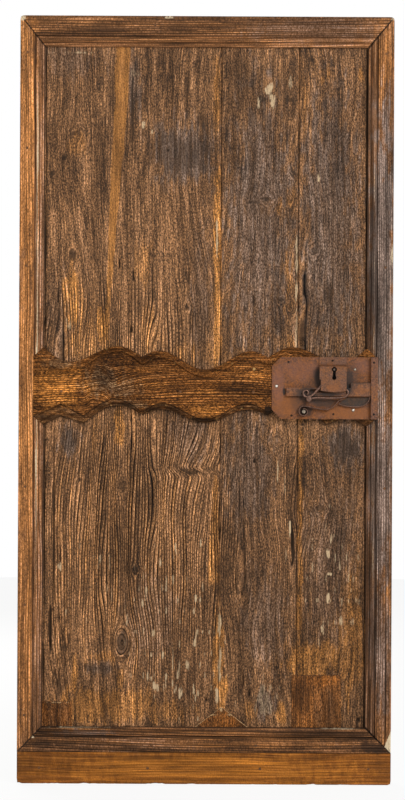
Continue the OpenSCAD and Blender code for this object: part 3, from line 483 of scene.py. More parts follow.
framing = {
    "mouldingWide": 24.0, "lip": 7.0, "quirkFloor": 13.5, "beadTop": 17.2, "cove": 0.44, "bead": 0.88,
    "cornerRound": 2.0, "bandStep": 2.4, "rowStep": 5.0, "mitreGap": 0.3,
    "mitreShade": 0.9, "mitreWide": 1.6, "mitreRows": (0.9, 2), "railStep": 4, "footReach": 2.2,
    "cornerWear": 9.0,
    # fine points of the section: rings up the outer wall, clear ends of the flat band, the quirk's worn edge
    # (place from the band, drop from its face), and the lip's worn corner
    "wallRings": (0, 6, 12), "bandEnds": (1.2, 1.4), "quirkEdge": [(-0.9, 0), (-0.25, 0.3), (0, 1)],
    "quirkWall": 0.1, "lipRound": 0.6, "lipDrop": 0.7, "lipRing": 3,
    "cornerPoints": 5, "beadPoints": 12, "covePoints": 9,
    # painted shade and dust in the creases: place from the band, reach, strength; then the bead's painted
    # highlight
    "quirks": [(1.6, 2.0, 1), (13.4, 1.0, 0.5), (24.5, 2.2, 1)],
    "highlightBand": (8, 3.2), "highlightNoise": (3, 60), "highlightLevel": (0.8, 0.4),
    # heights between which the painted highlight fades to head and foot, the share lost and the share left
    "headFade": (1600, 1790), "footFade": (390, 560), "headLoss": 0.8, "footLeast": 0.25,
    # splinter gone from the right stile's foot: width, height, depth, the least thickness it leaves, and the
    # shares over which it sinks in and turns pale
    "chip": (23.0, 58.0, 8.0), "chipFloor": 6.5, "chipSink": (0, 0.3), "chipPale": (0, 0.08),
    "left": dict(seed=111, level=0.95, ringWidth=6.5, wander=9, relief=0.4, shade=0.22, blotch=0.08,
                 beadHighlight=0.78, beadShade=0.0, quirkDustAndShade=1.1, footShade=0.0, beadGrey=0.3, beadPaintedLight=1.0),
    "right": dict(seed=131, level=0.93, ringWidth=5.5, wander=7, relief=0.5, shade=0.4, blotch=0.24,
                  beadHighlight=0.45, beadShade=0.5, quirkDustAndShade=1.1, footShade=0.0, beadGrey=0.25, beadPaintedLight=1.0),
    "top": dict(seed=151, level=0.8, ringWidth=5.5, wander=8, relief=0.4, shade=0.28, blotch=0.18,
                beadHighlight=0.2, beadShade=0.0, quirkDustAndShade=0.5, footShade=0.0, beadGrey=0.0, beadPaintedLight=1.25),
    "bottom": dict(seed=171, level=0.78, ringWidth=6.0, wander=8, relief=0.5, shade=0.5, blotch=0.24,
                   beadHighlight=0.4, beadShade=0.2, quirkDustAndShade=1.1, footShade=1.0, beadGrey=0.0, beadPaintedLight=1.0),
    "middle": dict(seed=191, level=0.92, ringWidth=4.6, wander=16, relief=0.5, shade=0.34, blotch=0.2,
                   sweeps=[(962, 214, 40, 38, 24), (930, 168, 26, 30, -12)]),
    "plinth": dict(seed=211, level=0.88, ringWidth=7.5, wander=12, relief=0.45, shade=0.36, blotch=0.12),
    # stains: x, z, half width, half length, strength; the two thin pale lines at z 134 are painted highlights
    # on the bottom rail's top edge
    "warm": [(20, 1500, 40, 420, 0.75), (22, 900, 40, 500, 0.65), (22, 400, 40, 360, 0.6),
        (868, 1745, 34, 95, 0.7), (880, 420, 30, 90, 0.4), (450, 1820, 420, 60, 0.15),
        (150, 125, 90, 14, 0.7), (450, 30, 420, 60, 0.7), (560, 24, 240, 12, 0.95),
        (450, 105, 420, 26, 0.45)],
    "dark": [(210, 1815, 60, 22, 0.55), (370, 1822, 40, 18, 0.5), (60, 100, 60, 30, 0.45),
        (846, 90, 46, 18, 0.85), (160, 96, 120, 5, 0.5), (20, 40, 40, 60, 0.4), (880, 30, 30, 50, 0.35),
        (610, 1830, 40, 14, 0.35), (872, 1000, 20, 110, 0.35), (610, 95, 4, 4, 0.9), (632, 95, 4, 4, 0.9),
        (76, 95, 4, 4, 0.9), (690, 40, 70, 20, 0.25), (230, 62, 230, 9, 0.4), (640, 65, 160, 7, 0.35),
        (90, 30, 70, 12, 0.3)],
    "pale": [(5, 1842, 9, 9, 0.75), (894, 1843, 7, 6, 0.5), (358, 1844, 12, 3.5, 0.7),
        (896, 1270, 5, 40, 0.6), (894, 98, 8, 16, 0.9), (770, 134, 80, 3, 0.4), (150, 134, 110, 3, 0.45),
        (38, 112, 4, 4, 0.9), (48, 1300, 4, 30, 0.3)],
    "grey": [(872, 1250, 34, 420, 0.95), (872, 700, 34, 300, 0.8), (872, 330, 34, 200, 0.55),
        (700, 1815, 200, 40, 0.3), (300, 95, 150, 30, 0.2), (160, 122, 90, 9, 0.6)],
}


# Middle rail: its two wavy edges run through listed nodes (share of the half length, rise, 1 round or
# 0 sharp), the same on both sides of the centre
wave = {
    "upperFoot": 998.0, "lowerFoot": 862.0, "rise": 56.0, "mitreFrom": 0.88, "seatGap": 0.1, "steps": 300,
    "bandColumns": 30, "stub": 4.0, "lowerMouldShade": 0.5, "upperMouldShade": 0.1, "upperQuirkShade": 0.45, "lowerQuirkShade": 0.8,
    "mouldWear": 0.3, "mouldPaintedLight": 1.2, "lowerGrey": 0.25, "mouldShadeNoise": (12, 6), "mouldShadeSpread": 0.7,
    "fleckNoise": (4, 3), "fleckSpan": (0.5, 0.85),
    "fleckPale": (0.5, 0.2),                          # on the moulding, and off it
    # painted shade in the creases: share of the moulding, reach, strength
    "quirks": [(0.97, 0.07, 1), (0.44, 0.05, 0.5), (0, 0.16, 1)],
    "underRailShadow": 0.5, "underReach": 8.0,              # painted shadow on the planks just below the rail
    "upperOuter": [(0, 0, 1), (0.285, 0.8, 1), (0.389, 0.53, 0), (0.54, 0.98, 1), (0.84, 0.31, 1),
        (1, 0.94, 0)],
    "upperInner": [(0, -0.4, 1), (0.275, 0.4, 1), (0.389, 0.12, 0), (0.54, 0.7, 1), (0.85, -0.14, 1),
        (1.062, 0.525, 0)],
    "lowerOuter": [(0, 0.14, 1), (0.265, 0.7, 1), (0.389, 0.47, 0), (0.536, 0.86, 1), (0.75, 0.08, 0),
        (0.889, 0.41, 0), (1, 0, 0)],
    "lowerInner": [(0, 0.3, 1), (0.265, 0.97, 1), (0.389, 0.57, 0), (0.55, 1.14, 1), (0.75, 0.42, 0),
        (0.889, 0.93, 0), (1.062, 0.375, 0)],
    # stains: x, z, half width, half length, strength; several dark marks on the lower moulding are painted
    # shade
    "warm": [(90, 950, 70, 60, 0.9), (120, 985, 50, 24, 0.8), (165, 960, 24, 24, 0.8),
        (300, 960, 60, 14, 0.3), (450, 900, 60, 24, 0.6), (440, 945, 40, 12, 0.3), (570, 985, 40, 12, 0.4),
        (560, 925, 50, 10, 0.25), (340, 915, 30, 8, 0.3)],
    "dark": [(205, 972, 26, 26, 0.34), (232, 948, 28, 24, 0.34), (262, 930, 22, 14, 0.3),
        (150, 905, 34, 12, 0.5), (380, 955, 60, 12, 0.5), (520, 955, 60, 16, 0.55), (330, 985, 60, 7, 0.4),
        (460, 1000, 80, 8, 0.4), (250, 900, 60, 8, 0.35), (604, 900, 18, 14, 1.0), (92, 1000, 26, 8, 0.5),
        (78, 880, 46, 10, 0.75), (323, 902, 28, 9, 0.8), (434, 877, 64, 6, 0.85), (540, 925, 60, 6, 0.4)],
    "pale": [(232, 962, 4, 3, 0.9), (536, 905, 5, 3, 0.7), (566, 1000, 4, 3, 0.9), (150, 1000, 20, 3, 0.35)],
    "grey": [(205, 968, 60, 44, 0.45), (245, 948, 60, 26, 0.4), (100, 1010, 50, 14, 0.35),
        (260, 912, 60, 12, 0.4)],
}


# Rise between two nodes: a half cosine from round to round, a quarter cosine or sine at a sharp node, and a
# straight line from sharp to sharp
def waveRise(nodes, place):
    nodes = np.array(nodes)
    k = np.clip(np.searchsorted(nodes[:, 0], place) - 1, 0, len(nodes) - 2)
    a, b = nodes[k], nodes[k + 1]
    t = (place - a[..., 0]) / (b[..., 0] - a[..., 0])
    roundA, roundB = a[..., 2] > 0, b[..., 2] > 0
    fromRound = np.where(roundB, (1 - np.cos(np.pi * t)) / 2, 1 - np.cos(np.pi * t / 2))
    eased = np.where(roundA, fromRound, np.where(roundB, np.sin(np.pi * t / 2), t))
    return a[..., 1] + (b[..., 1] - a[..., 1]) * eased


# height of the middle rail's lower edge at each x
def railLine(x):
    half = (panelRight - panelLeft) / 2 - wave["seatGap"]
    share = np.minimum(np.abs(x - (panelLeft + panelRight) / 2) / half, 1)
    return wave["lowerFoot"] + wave["rise"] * waveRise(wave["lowerOuter"], share)


# true inside the outlines of the three repair pieces
def patchPockets(x, z):
    wedgeLow, wedgeHigh = leafBox("patch_wedge")
    middle, half = (wedgeLow[0] + wedgeHigh[0]) / 2, (wedgeHigh[0] - wedgeLow[0]) / 2
    inside = np.abs(x - middle) < half * (wedgeHigh[2] - z) / (wedgeHigh[2] - wedgeLow[2])
    for node in ("patch_left", "patch_right"):
        low, high = leafBox(node)
        inside |= (x > low[0]) & (x < high[0]) & (z < high[2])
    return inside & (z > wedgeLow[2])


# smooth band of resin wood: centre, half width and strength run straight from each of its nodes to the next
def resinBand(x, z):
    places, centres, halves, amounts = np.array(panel["streak"]).T
    away = np.abs(x - np.interp(z, places, centres)) / np.interp(z, places, halves)
    away = away + panel["streakRagged"] * latticeNoise(x, z, panel["streakNoise"], 14)
    return np.interp(z, places, amounts) * (1 - smooth(*panel["streakFade"], away))


# Front of a plank: grain round the knots, cracks and worm holes sunk in, a groove along the frame's lip, long
# edges rounded over, and the stains, flakes and dirt, with painted shade in the lip's groove and painted
# shadow under the middle rail
def plankFront(x, z, side, edges):
    band = resinBand(x, z)
    wear = np.maximum(panel["wornLeast"], ovals(x, z, panel["worn"], panel["softRim"], 9)) * (1 - band)
    ring, depth, tone = woodGrain(x, z, panel[side], panel["knots"], wear)
    cracks = ovals(x, z, panel["cracks"], panel["crackRim"], 5)
    wx, wz, wormWide, wormLong = panel["wormZone"]
    wormy = 1 - smooth(*panel["wormFade"], np.hypot((x - wx) / wormWide, (z - wz) / wormLong))
    worms = latticeNoise(x, z, panel["wormSize"], 6)
    worms = worms + panel["wormFineShare"] * latticeNoise(x, z, panel["wormFine"], 7)
    holes = wormy * smooth(*panel["wormSpan"], worms)
    lipLeft, lipRight = panelLeft + panel["lipPlace"][0], panelRight - panel["lipPlace"][1]
    besideLip = np.minimum(np.abs(x - lipLeft), np.abs(x - lipRight)) / panel["lipGroove"]
    groove = 1 - smooth(*panel["lipFade"], besideLip)
    level, spread = panel["lipLevel"]
    groove = groove * (level + spread * latticeNoise(x, z, panel["lipNoise"], 8))
    edge = np.minimum(np.abs(x - edges[0]), np.abs(x - edges[1]))
    depth = depth + cracks + panel["wormDeep"] * holes + panel["lipDeep"] * groove
    depth = depth + panel["edgeRound"] * np.exp(-edge / panel["edgeReach"])
    depth = np.where(patchPockets(x, z), panel["patchSink"], depth)
    stain = stainMap(x, z, panel, 1, panel["ragged"])
    raiseStain(stain, warmth, band)
    stain[..., greyness] *= 1 - band
    tone = tone * (1 + (panel["streakLight"] - 1) * band)
    flakes = ovals(x, z, panel["flakes"], panel["softRim"], 12)
    flakes = flakes * smooth(*panel["flakeSpan"], latticeNoise(x, z, panel["flakeSize"], 13))
    stain[..., paleness] *= panel["markPale"]
    raiseStain(stain, paleness, panel["flakePale"] * flakes)
    crackShare, crackMost = panel["crackDirt"]
    raiseStain(stain, dirtAndShade, np.clip(crackShare * cracks, 0, crackMost))
    raiseStain(stain, dirtAndShade, panel["wormDirt"] * holes)
    # painted shade and dirt in the groove beside the frame's lip
    raiseStain(stain, dirtAndShade, panel["lipShadeAndDirt"] * groove)
    # painted shadow under the middle rail's lower edge
    raiseStain(stain, dirtAndShade, wave["underRailShadow"] * bell(z, railLine(x), wave["underReach"]))
    return ring, depth, tone, stain, wear


# the leaf's two worn top corners: what lies past a quarter circle is drawn back onto it
def wornCorners(x, z):
    radius, middle = framing["cornerWear"], leafWidth / 2
    dx = np.maximum(radius - (middle - np.abs(x - middle)), 0)
    dz = np.maximum(z - leafHeight + radius, 0)
    back = 1 - radius / np.maximum(np.hypot(dx, dz), radius)
    return x - np.sign(x - middle) * dx * back, z - dz * back


# closed tube of wood from rows of rings; its grain map is the ring number and the length along in decimetres
def woodPiece(name, x, y, z, along, looks, finish, flip=False, wear=None):
    ring, tone, stain = looks
    grain = np.stack([ring, along / 100], -1)
    x, z = wornCorners(x, z)
    faces = tubeFaces(*x.shape, flip)
    return makePiece(name, np.stack([x, y, z], -1), faces, finish, grain, stain, tone, wear)


# A plank is one closed ring of points, front then right edge, back and left edge, carried up the leaf
def makePlank(name, side, x0, x1, tongue, groove):
    margin, sliver = panel["fineMargin"], panel["edgeColumn"]
    fine = np.arange(max(x0, panelLeft - margin), min(x1, panelRight + margin), panel["columnStep"])
    coarse = np.arange(x0, x1, panel["coarseStep"])
    front = np.unique(np.concatenate([coarse, fine, [x0, x0 + sliver, x1 - sliver, x1]]))
    front = front[np.concatenate([[True], np.diff(front) > panel["leastColumn"]])]
    front[-1] = x1
    one, two, three = panel["backColumns"]
    back = np.arange(x1 - three, x0 + three, -panel["backStep"])
    back = np.concatenate([[x1, x1 - one, x1 - two], back, [x0 + two, x0 + one, x0]])
    nearY, farY, reach, gap = (panel["tongue" + part] for part in ("Front", "Back", "Reach", "Gap"))
    third = plankThick / 3
    right, left = [(x1, third), (x1, 2 * third)], [(x0, 2 * third), (x0, third)]
    if tongue:
        right = [(x1, nearY), (x1 + reach, nearY), (x1 + reach, farY), (x1, farY)]
    if groove:
        inner, rear, fore = x0 + reach + gap, farY + gap, nearY - gap
        left = [(x0, rear), (inner, rear), (inner, fore), (x0, fore)]
    across = np.concatenate([front, [p[0] for p in right], back, [p[0] for p in left]])
    deep = np.concatenate([0 * front, [p[1] for p in right], 0 * back + plankThick, [p[1] for p in left]])
    onFront = np.arange(len(across)) < len(front)
    onBack = deep == plankThick
    railLow, railHigh = (leafBox("middle_rail")[k][2] + hidden for k, hidden in enumerate(panel["underRail"]))
    below, above = panel["rowMargin"]
    rows = np.concatenate([panel["footRows"], np.arange(panelLow - below, railLow, panel["rowStep"]),
                           np.linspace(railLow, railHigh, panel["underRows"])[1:-1],
                           np.arange(railHigh, panelHigh + above, panel["rowStep"]),
                           [panelHigh + panel["headRow"], leafHeight]])
    x, z = np.meshgrid(across, rows)
    ring, depth, tone, stain, wear = plankFront(x, z, side, (x0, x1))
    ringBack, depthBack, toneBack = woodGrain(x, z, panel["back"])
    ends = smooth(0, panel["endFade"], z) * smooth(0, panel["endFade"], leafHeight - z)
    seam = np.exp(-np.minimum(across - x0, x1 - across) / panel["seamReach"])
    sunk = np.where(onBack, depthBack * ends + panel["backRound"] * seam, 0)
    y = deep + np.where(onFront, depth * ends, 0) - sunk
    ring = np.where(onBack, ringBack, ring)
    tone = np.where(onBack, toneBack * panel["backLight"][side], tone)
    stain[:, ~onFront] = 0
    stain[:, onBack, dirtAndShade] = panel["backDirt"] * seam[onBack]
    stain[:, onBack, greyness] = panel["backGrey"]
    piece = woodPiece(name, x, y, z, z, (ring, tone, stain), plankWood, wear=wear)
    seat(piece, "plank_" + side)


seamOne, seamTwo = leafBox("plank_middle")[0][0], leafBox("plank_right")[0][0]
makePlank("plankLeft", "left", 0.0, seamOne - panel["seamGap"], True, False)
makePlank("plankMiddle", "middle", seamOne, seamTwo - panel["seamGap"], True, True)
makePlank("plankRight", "right", seamTwo, leafWidth, False, True)
print("planks made")


# Section of a face-frame strip as a closed ring, u from the outer edge and out from the planks' face: up the
# outer wall, a rounded corner, the flat band, the quirk, the half-round bead, the hollow cove and the lip,
# and along the back. worn says how far the grain may cut in at each point.
def stripSection(wide):
    moulding, bandEnd = framing["mouldingWide"], wide - framing["mouldingWide"]
    floor, top, corner = framing["quirkFloor"], framing["beadTop"], framing["cornerRound"]
    a = np.linspace(0, np.pi / 2, framing["cornerPoints"])
    turnU, turnOut = corner * (1 - np.cos(a)), frameThick - corner + corner * np.sin(a)
    bandU = np.arange(corner + framing["bandEnds"][0], bandEnd - framing["bandEnds"][1], framing["bandStep"])
    edgeU, edgeDrop = np.array(framing["quirkEdge"]).T
    b = np.linspace(0, np.pi, framing["beadPoints"])
    beadU = wide - moulding * (framing["bead"] - (framing["bead"] - framing["cove"]) * (1 - np.cos(b)) / 2)
    c = np.linspace(1, 0, framing["covePoints"])[1:]
    coveU = wide - moulding * framing["cove"] * c
    coveOut = framing["lip"] + (floor - framing["lip"]) * (1 - np.sqrt(1 - c * c))
    coveU[-1] -= framing["lipRound"]
    u = np.concatenate([[0, 0, 0], turnU, bandU, bandEnd + edgeU, [bandEnd + framing["quirkWall"]],
                        beadU, coveU, [wide, wide, wide, wide * 0.66, wide * 0.33]])
    out = np.concatenate([framing["wallRings"], turnOut, 0 * bandU + frameThick, frameThick - edgeDrop,
                          [floor], floor + (top - floor) * np.sin(b), coveOut,
                          [framing["lip"] - framing["lipDrop"], framing["lipRing"], 0, 0, 0]])
    worn = np.concatenate([[0, 0, 0, 0], np.ones(len(turnU) + len(bandU) + 1), [0.5, 0],
                           np.full(len(beadU) + len(coveU), 0.7), [0.3, 0, 0, 0, 0]])
    return u, out, worn


# grain, stain and shade of a strip: painted shade with dust and old wax darkens the quirk and the foot of the
# cove, painted shade darkens the mitre gaps, the bottom rail's foot and whole mouldings, painted light lifts
# the top rail's moulding, and a painted highlight runs along the bead
def stripLooks(u, v, x, z, out, side, wide, fromEnd):
    strip = framing[side]
    ring, depth, tone = woodGrain(u, v, strip)
    fromBand = u - (wide - framing["mouldingWide"])
    moulded, faced = fromBand > 0, out > 1
    quirk = sum(amount * bell(fromBand, place, reach) for place, reach, amount in framing["quirks"])
    level, spread = framing["highlightLevel"]
    highlightMask = bell(fromBand, *framing["highlightBand"])
    highlightMask = highlightMask * (level + spread * latticeNoise(u, v, framing["highlightNoise"], strip["seed"] + 9))
    highlightMask = highlightMask * (1 - framing["headLoss"] * smooth(*framing["headFade"], z))
    highlightMask = highlightMask * (framing["footLeast"] + (1 - framing["footLeast"]) * smooth(*framing["footFade"], z))
    stain = stainMap(x, z, framing, 20)
    # painted highlight along the bead
    raiseStain(stain, paleness, strip["beadHighlight"] * highlightMask)
    # painted shade at the mitre gaps
    raiseStain(stain, dirtAndShade, framing["mitreShade"] * (fromEnd < framing["mitreWide"]) * faced)
    # painted shade along the bottom rail's foot, where it meets the plinth
    raiseStain(stain, dirtAndShade, strip["footShade"] * np.exp(-u / framing["footReach"]) * faced)
    # painted shade and dust in the quirk and at the foot of the cove
    raiseStain(stain, dirtAndShade, strip["quirkDustAndShade"] * quirk * faced)
    # painted shade over the whole moulding, strongest on the right stile, whose moulding faces away from the
    # light
    raiseStain(stain, dirtAndShade, strip["beadShade"] * moulded * faced)
    raiseStain(stain, greyness, strip["beadGrey"] * moulded)
    # painted light lifts the top rail's moulding
    return ring, depth, tone * np.where(moulded, strip["beadPaintedLight"], 1), stain


# shares from 0 to 1, with two more rows beside an end that is mitred
def mitredRows(count, mitre, first=True, last=True):
    rows = mitre * np.array(framing["mitreRows"])
    t = np.linspace(0, 1, count)
    lines = [t[:1], rows if first else [], t[1:-1], 1 - rows[::-1] if last else [], t[-1:]]
    return np.concatenate(lines)[:, None]


# notch in a stile's moulding where the middle rail's mitred end sits, as two lines over u; the moulding is
# pressed flat there to a thin floor
railEnd = {"low": 882.9, "high": 1027.5, "lowSlope": 0.875, "highSlope": 0.968, "sit": 0.2,
           "clear": 0.05, "floor": 0.3, "pressed": 100}


# A stile is the strip's section carried up between two mitres that gape by so many millimetres, with its
# moulding cut away where the middle rail ends
def makeStile(name, side, wide, gapeTop, gapeFoot):
    u, out, worn = stripSection(wide)
    bandEnd, gap = wide - framing["mouldingWide"], framing["mitreGap"]
    past = np.maximum(0, u - bandEnd)
    foot = plinthTop + u * (bottomRailTop - plinthTop) / wide + gap + gapeFoot * u / wide
    head = leafHeight - u * topRailWide / wide - gap - gapeTop * u / wide
    low, high = railEnd["low"] - railEnd["lowSlope"] * past, railEnd["high"] + railEnd["highSlope"] * past
    mitre = framing["mitreWide"] / (head[0] - high[0])
    lengths = (low[0] - foot[0], high[0] - low[0], head[0] - high[0])
    t = [mitredRows(int(n / framing["rowStep"]), mitre, k == 0, k == 2) for k, n in enumerate(lengths)]
    sit = railEnd["sit"]
    spans = (foot, low - foot), (low + sit, high - low - 2 * sit), (high, head - high)
    z = np.concatenate([start + length * line for (start, length), line in zip(spans, t)])
    notched = np.zeros(z.shape, bool)
    notched[len(t[0]):len(t[0]) + len(t[1])] = u > bandEnd + railEnd["clear"]
    x = u + 0 * z if side == "left" else leafWidth - u + 0 * z
    fromEnd = np.minimum(z - foot, head - z)
    ring, depth, tone, stain = stripLooks(u + 0 * z, z, x, z, out + 0 * z, side, wide, fromEnd)
    floor = np.minimum(out, railEnd["floor"] + out / railEnd["pressed"])
    y = -np.where(notched, floor, np.maximum(out - depth * worn, 0))
    if side == "right":                               # a splinter is gone from the front corner at the foot
        chipWide, chipTall, chipDeep = framing["chip"]
        chip = np.clip(1 - (leafWidth - x) / chipWide - (z - plinthTop) / chipTall, 0, 1)
        sunk = np.minimum(y + chipDeep * smooth(*framing["chipSink"], chip), -framing["chipFloor"])
        y = np.where(out > chipDeep, sunk, y)
        raiseStain(stain, paleness, smooth(*framing["chipPale"], chip))
    piece = woodPiece(name, x, y, z, z, (ring, tone, stain), frameWood, side == "right")
    seat(piece, "stile_" + side)


# a top or bottom rail: the strip's section carried along x between two mitres
def makeFrameRail(name, side, wide, zOuter, upward):
    u, out, worn = stripSection(wide)
    start = u * stileLeftWide / wide + framing["mitreGap"]
    end = leafWidth - u * stileRightWide / wide - framing["mitreGap"]
    t = mitredRows(int(leafWidth / framing["railStep"]), framing["mitreWide"] / leafWidth)
    x = start + (end - start) * t
    z = zOuter + (u if upward else -u) + 0 * x
    fromEnd = np.minimum(x - start, end - x)
    ring, depth, tone, stain = stripLooks(u + 0 * x, x, x, z, out + 0 * x, side, wide, fromEnd)
    y = -np.maximum(out - depth * worn, 0)
    seat(woodPiece(name, x, y, z, x, (ring, tone, stain), frameWood, upward), side + "_rail")


makeStile("stileLeft", "left", stileLeftWide, 0.4, 0.4)
makeStile("stileRight", "right", stileRightWide, 3.0, 2.6)
makeFrameRail("topRail", "top", topRailWide, leafHeight, False)
makeFrameRail("bottomRail", "bottom", bottomRailTop - plinthTop, plinthTop, True)
print("face frame made")


# place on the rail's upper or lower half: a straight line from the outer wave to the inner one
def wavePoint(s, across, edge):
    half = (panelRight - panelLeft) / 2 - wave["seatGap"]
    foot, innerNodes = wave[edge + "Foot"], wave[edge + "Inner"]
    outer = s * half
    mitred = np.maximum(0, (np.abs(s) - wave["mitreFrom"]) / (1 - wave["mitreFrom"]))
    inner = outer + np.sign(s) * framing["mouldingWide"] * mitred
    zOuter = foot + wave["rise"] * waveRise(wave[edge + "Outer"], np.abs(outer) / half)
    zInner = foot + wave["rise"] * waveRise(innerNodes, np.minimum(np.abs(inner) / half, innerNodes[-1][0]))
    x = (panelLeft + panelRight) / 2 + outer + (inner - outer) * across
    return x, zOuter + (zInner - zOuter) * across


# The rail is a closed ring carried from end to end: the upper moulding from its lip to the band, the band,
# the lower moulding down to its lip, and the back
def makeMiddleRail():
    stub = wave["stub"]
    u, out, worn = stripSection(framing["mouldingWide"] + stub)
    used = (u >= stub - 0.3) & (out > 0.5)
    share = np.clip(1 - (u[used] - stub) / framing["mouldingWide"], 0, 1)      # 0 at the lip, 1 at the band
    share, lipOut, lipWorn = (np.insert(line[::-1], 0, 0) for line in (share, out[used], worn[used]))
    kinks = [node[0] for key in ("upperOuter", "lowerOuter") for node in wave[key] if node[2] == 0]
    s = np.concatenate([np.linspace(-1, 1, wave["steps"]), kinks, np.negative(kinks)])
    s = np.unique(np.round(s, 5))[:, None]
    t = np.linspace(0, 1, wave["bandColumns"])[1:-1]

    def closed(up, low):                              # straight over the band and over the back
        band = up[:, -1:] + (low[:, :1] - up[:, -1:]) * t
        back = [low[:, -1:] * a + up[:, :1] * b for a, b in ((0.7, 0.3), (0.3, 0.7))]
        return np.concatenate([up, band, low, *back], 1)

    x, z = map(closed, wavePoint(s, share, "upper"), wavePoint(s, share[::-1], "lower"))
    out = np.concatenate([lipOut, 0 * t + frameThick, lipOut[::-1], [0, 0]])
    worn = np.concatenate([lipWorn, 0 * t + 1, lipWorn[::-1], [0, 0]])
    share = np.concatenate([share, 0 * t + 3, share[::-1], [3, 3]])      # 3 is clear of every dirt line
    moulded, below = share < 1, np.arange(len(share)) > len(share) / 2
    wear = np.where(moulded, wave["mouldWear"], 1) + 0 * x
    ring, depth, tone = woodGrain(z, x, framing["middle"], (), wear)
    # painted light on both mouldings
    tone = tone * np.where(moulded, wave["mouldPaintedLight"], 1)
    quirk = np.minimum(sum(amount * bell(share, place, reach) for place, reach, amount in wave["quirks"]), 1)
    # painted shade over the mouldings, much stronger on the lower one, which faces down
    mouldShade = np.where(below, wave["lowerMouldShade"], wave["upperMouldShade"]) * moulded
    flecks = smooth(*wave["fleckSpan"], latticeNoise(x, z, wave["fleckNoise"], 37))
    stain = stainMap(x, z, wave, 30)
    # painted shade in the creases, stronger on the lower moulding
    raiseStain(stain, dirtAndShade, quirk * np.where(below, wave["lowerQuirkShade"], wave["upperQuirkShade"]))
    raiseStain(stain, dirtAndShade, mouldShade * (1 + wave["mouldShadeSpread"] * latticeNoise(x, z, wave["mouldShadeNoise"], 36)))
    raiseStain(stain, paleness, flecks * np.where(moulded, *wave["fleckPale"]))
    raiseStain(stain, greyness, wave["lowerGrey"] * (moulded & below))
    y = -np.maximum(out - depth * worn, 0)
    piece = woodPiece("middleRail", x, y, z, x, (ring, tone, stain), railWood, wear=wear)
    seat(piece, "middle_rail")


makeMiddleRail()
print("middle rail made")


plinthShape = {"footRound": 9.0, "edgeRound": 2.6, "sideRound": 3.0, "columns": 230,
               "edgeWear": 1.6, "wearNoise": (23, 1), "wearFine": (7, 1), "wearFineShare": 0.5,
               "roundPoints": 5, "facePoints": 36}


# Plinth board: a section with two rounded front edges carried along x; the foot rises in a quarter round at
# both ends, and the front draws back there
def makePlinth():
    low, high = leafBox("plinth_board")
    thick, edge, foot = -low[1], plinthShape["edgeRound"], plinthShape["footRound"]
    a = np.linspace(0, np.pi / 2, plinthShape["roundPoints"])
    share = np.linspace(0, 1, plinthShape["facePoints"])[1:-1]
    top = high[2]
    up = np.concatenate([[0, 0], edge * (1 - np.cos(a)), edge + (top - 2 * edge) * share,
                         top - edge + edge * np.sin(a), [top, top, top * 0.66, top * 0.33]])
    out = np.concatenate([[0, thick / 2], thick - edge + edge * np.sin(a), 0 * share + thick,
                          thick - edge + edge * np.cos(a), [thick / 2, 0, 0, 0]])
    worn = np.concatenate([[0, 0], 0 * a, 0 * share + 1, 0 * a, [0, 0, 0, 0]])
    bend = foot * (1 - np.cos(a))
    x = np.concatenate([np.linspace(0, leafWidth, plinthShape["columns"]), bend, leafWidth - bend])
    x = np.unique(x)[:, None]
    end = np.minimum(x, leafWidth - x)
    lift = foot - np.sqrt(np.maximum(foot ** 2 - np.maximum(foot - end, 0) ** 2, 0))
    chewed = latticeNoise(x, 0 * x, plinthShape["wearNoise"], 41)
    chewed = chewed + plinthShape["wearFineShare"] * latticeNoise(x, 0 * x, plinthShape["wearFine"], 42)
    bite = plinthShape["edgeWear"] * np.maximum(0, chewed) * (up < top / 2) * (out > 1)
    z = lift + bite + up * (top - lift) / top - bite * (up / top)
    fromSide = 1 - np.minimum(end / plinthShape["sideRound"], 1)
    draw = plinthShape["sideRound"] * (1 - np.sqrt(np.clip(1 - fromSide ** 2, 0, 1)))
    x = x + 0 * z
    ring, depth, tone = woodGrain(z, x, framing["plinth"])
    stain = stainMap(x, z, framing, 40)
    y = -np.maximum(out - depth * worn - draw * (out > 1), 0)
    piece = woodPiece("plinthBoard", x, y, z, x, (ring, tone, stain), plinthWood, True)
    seat(piece, "plinth_board")


makePlinth()
print("plinth made")


repairs = {
    "wood": dict(seed=231, level=0.92, ringWidth=5.0, wander=30, relief=0.35, shade=0.2, blotch=0.2),
    "step": 2.2, "rowStep": 3, "edgeRound": 0.9, "sinkMost": 1.8, "paleReach": 1.9,
    "edgePale": {"patch_wedge": 1.1, "patch_left": 0.2, "patch_right": 0.0},
    "warm": [(725, 250, 60, 24, 0.5), (705, 190, 60, 90, 0.35), (500, 150, 60, 24, 0.5),
        (100, 160, 60, 36, 0.6)],
    "dark": [(690, 215, 30, 56, 0.6), (755, 180, 30, 74, 0.55), (720, 150, 12, 50, 0.4),
        (100, 160, 50, 40, 0.2), (718, 262, 62, 3, 0.8)],
    "pale": [(98, 194, 40, 2, 0.6), (470, 165, 18, 3, 0.7), (515, 165, 14, 3, 0.7), (492, 178, 5, 8, 0.7)],
    "grey": [(740, 180, 30, 60, 0.2), (100, 160, 50, 40, 0.2)],
}


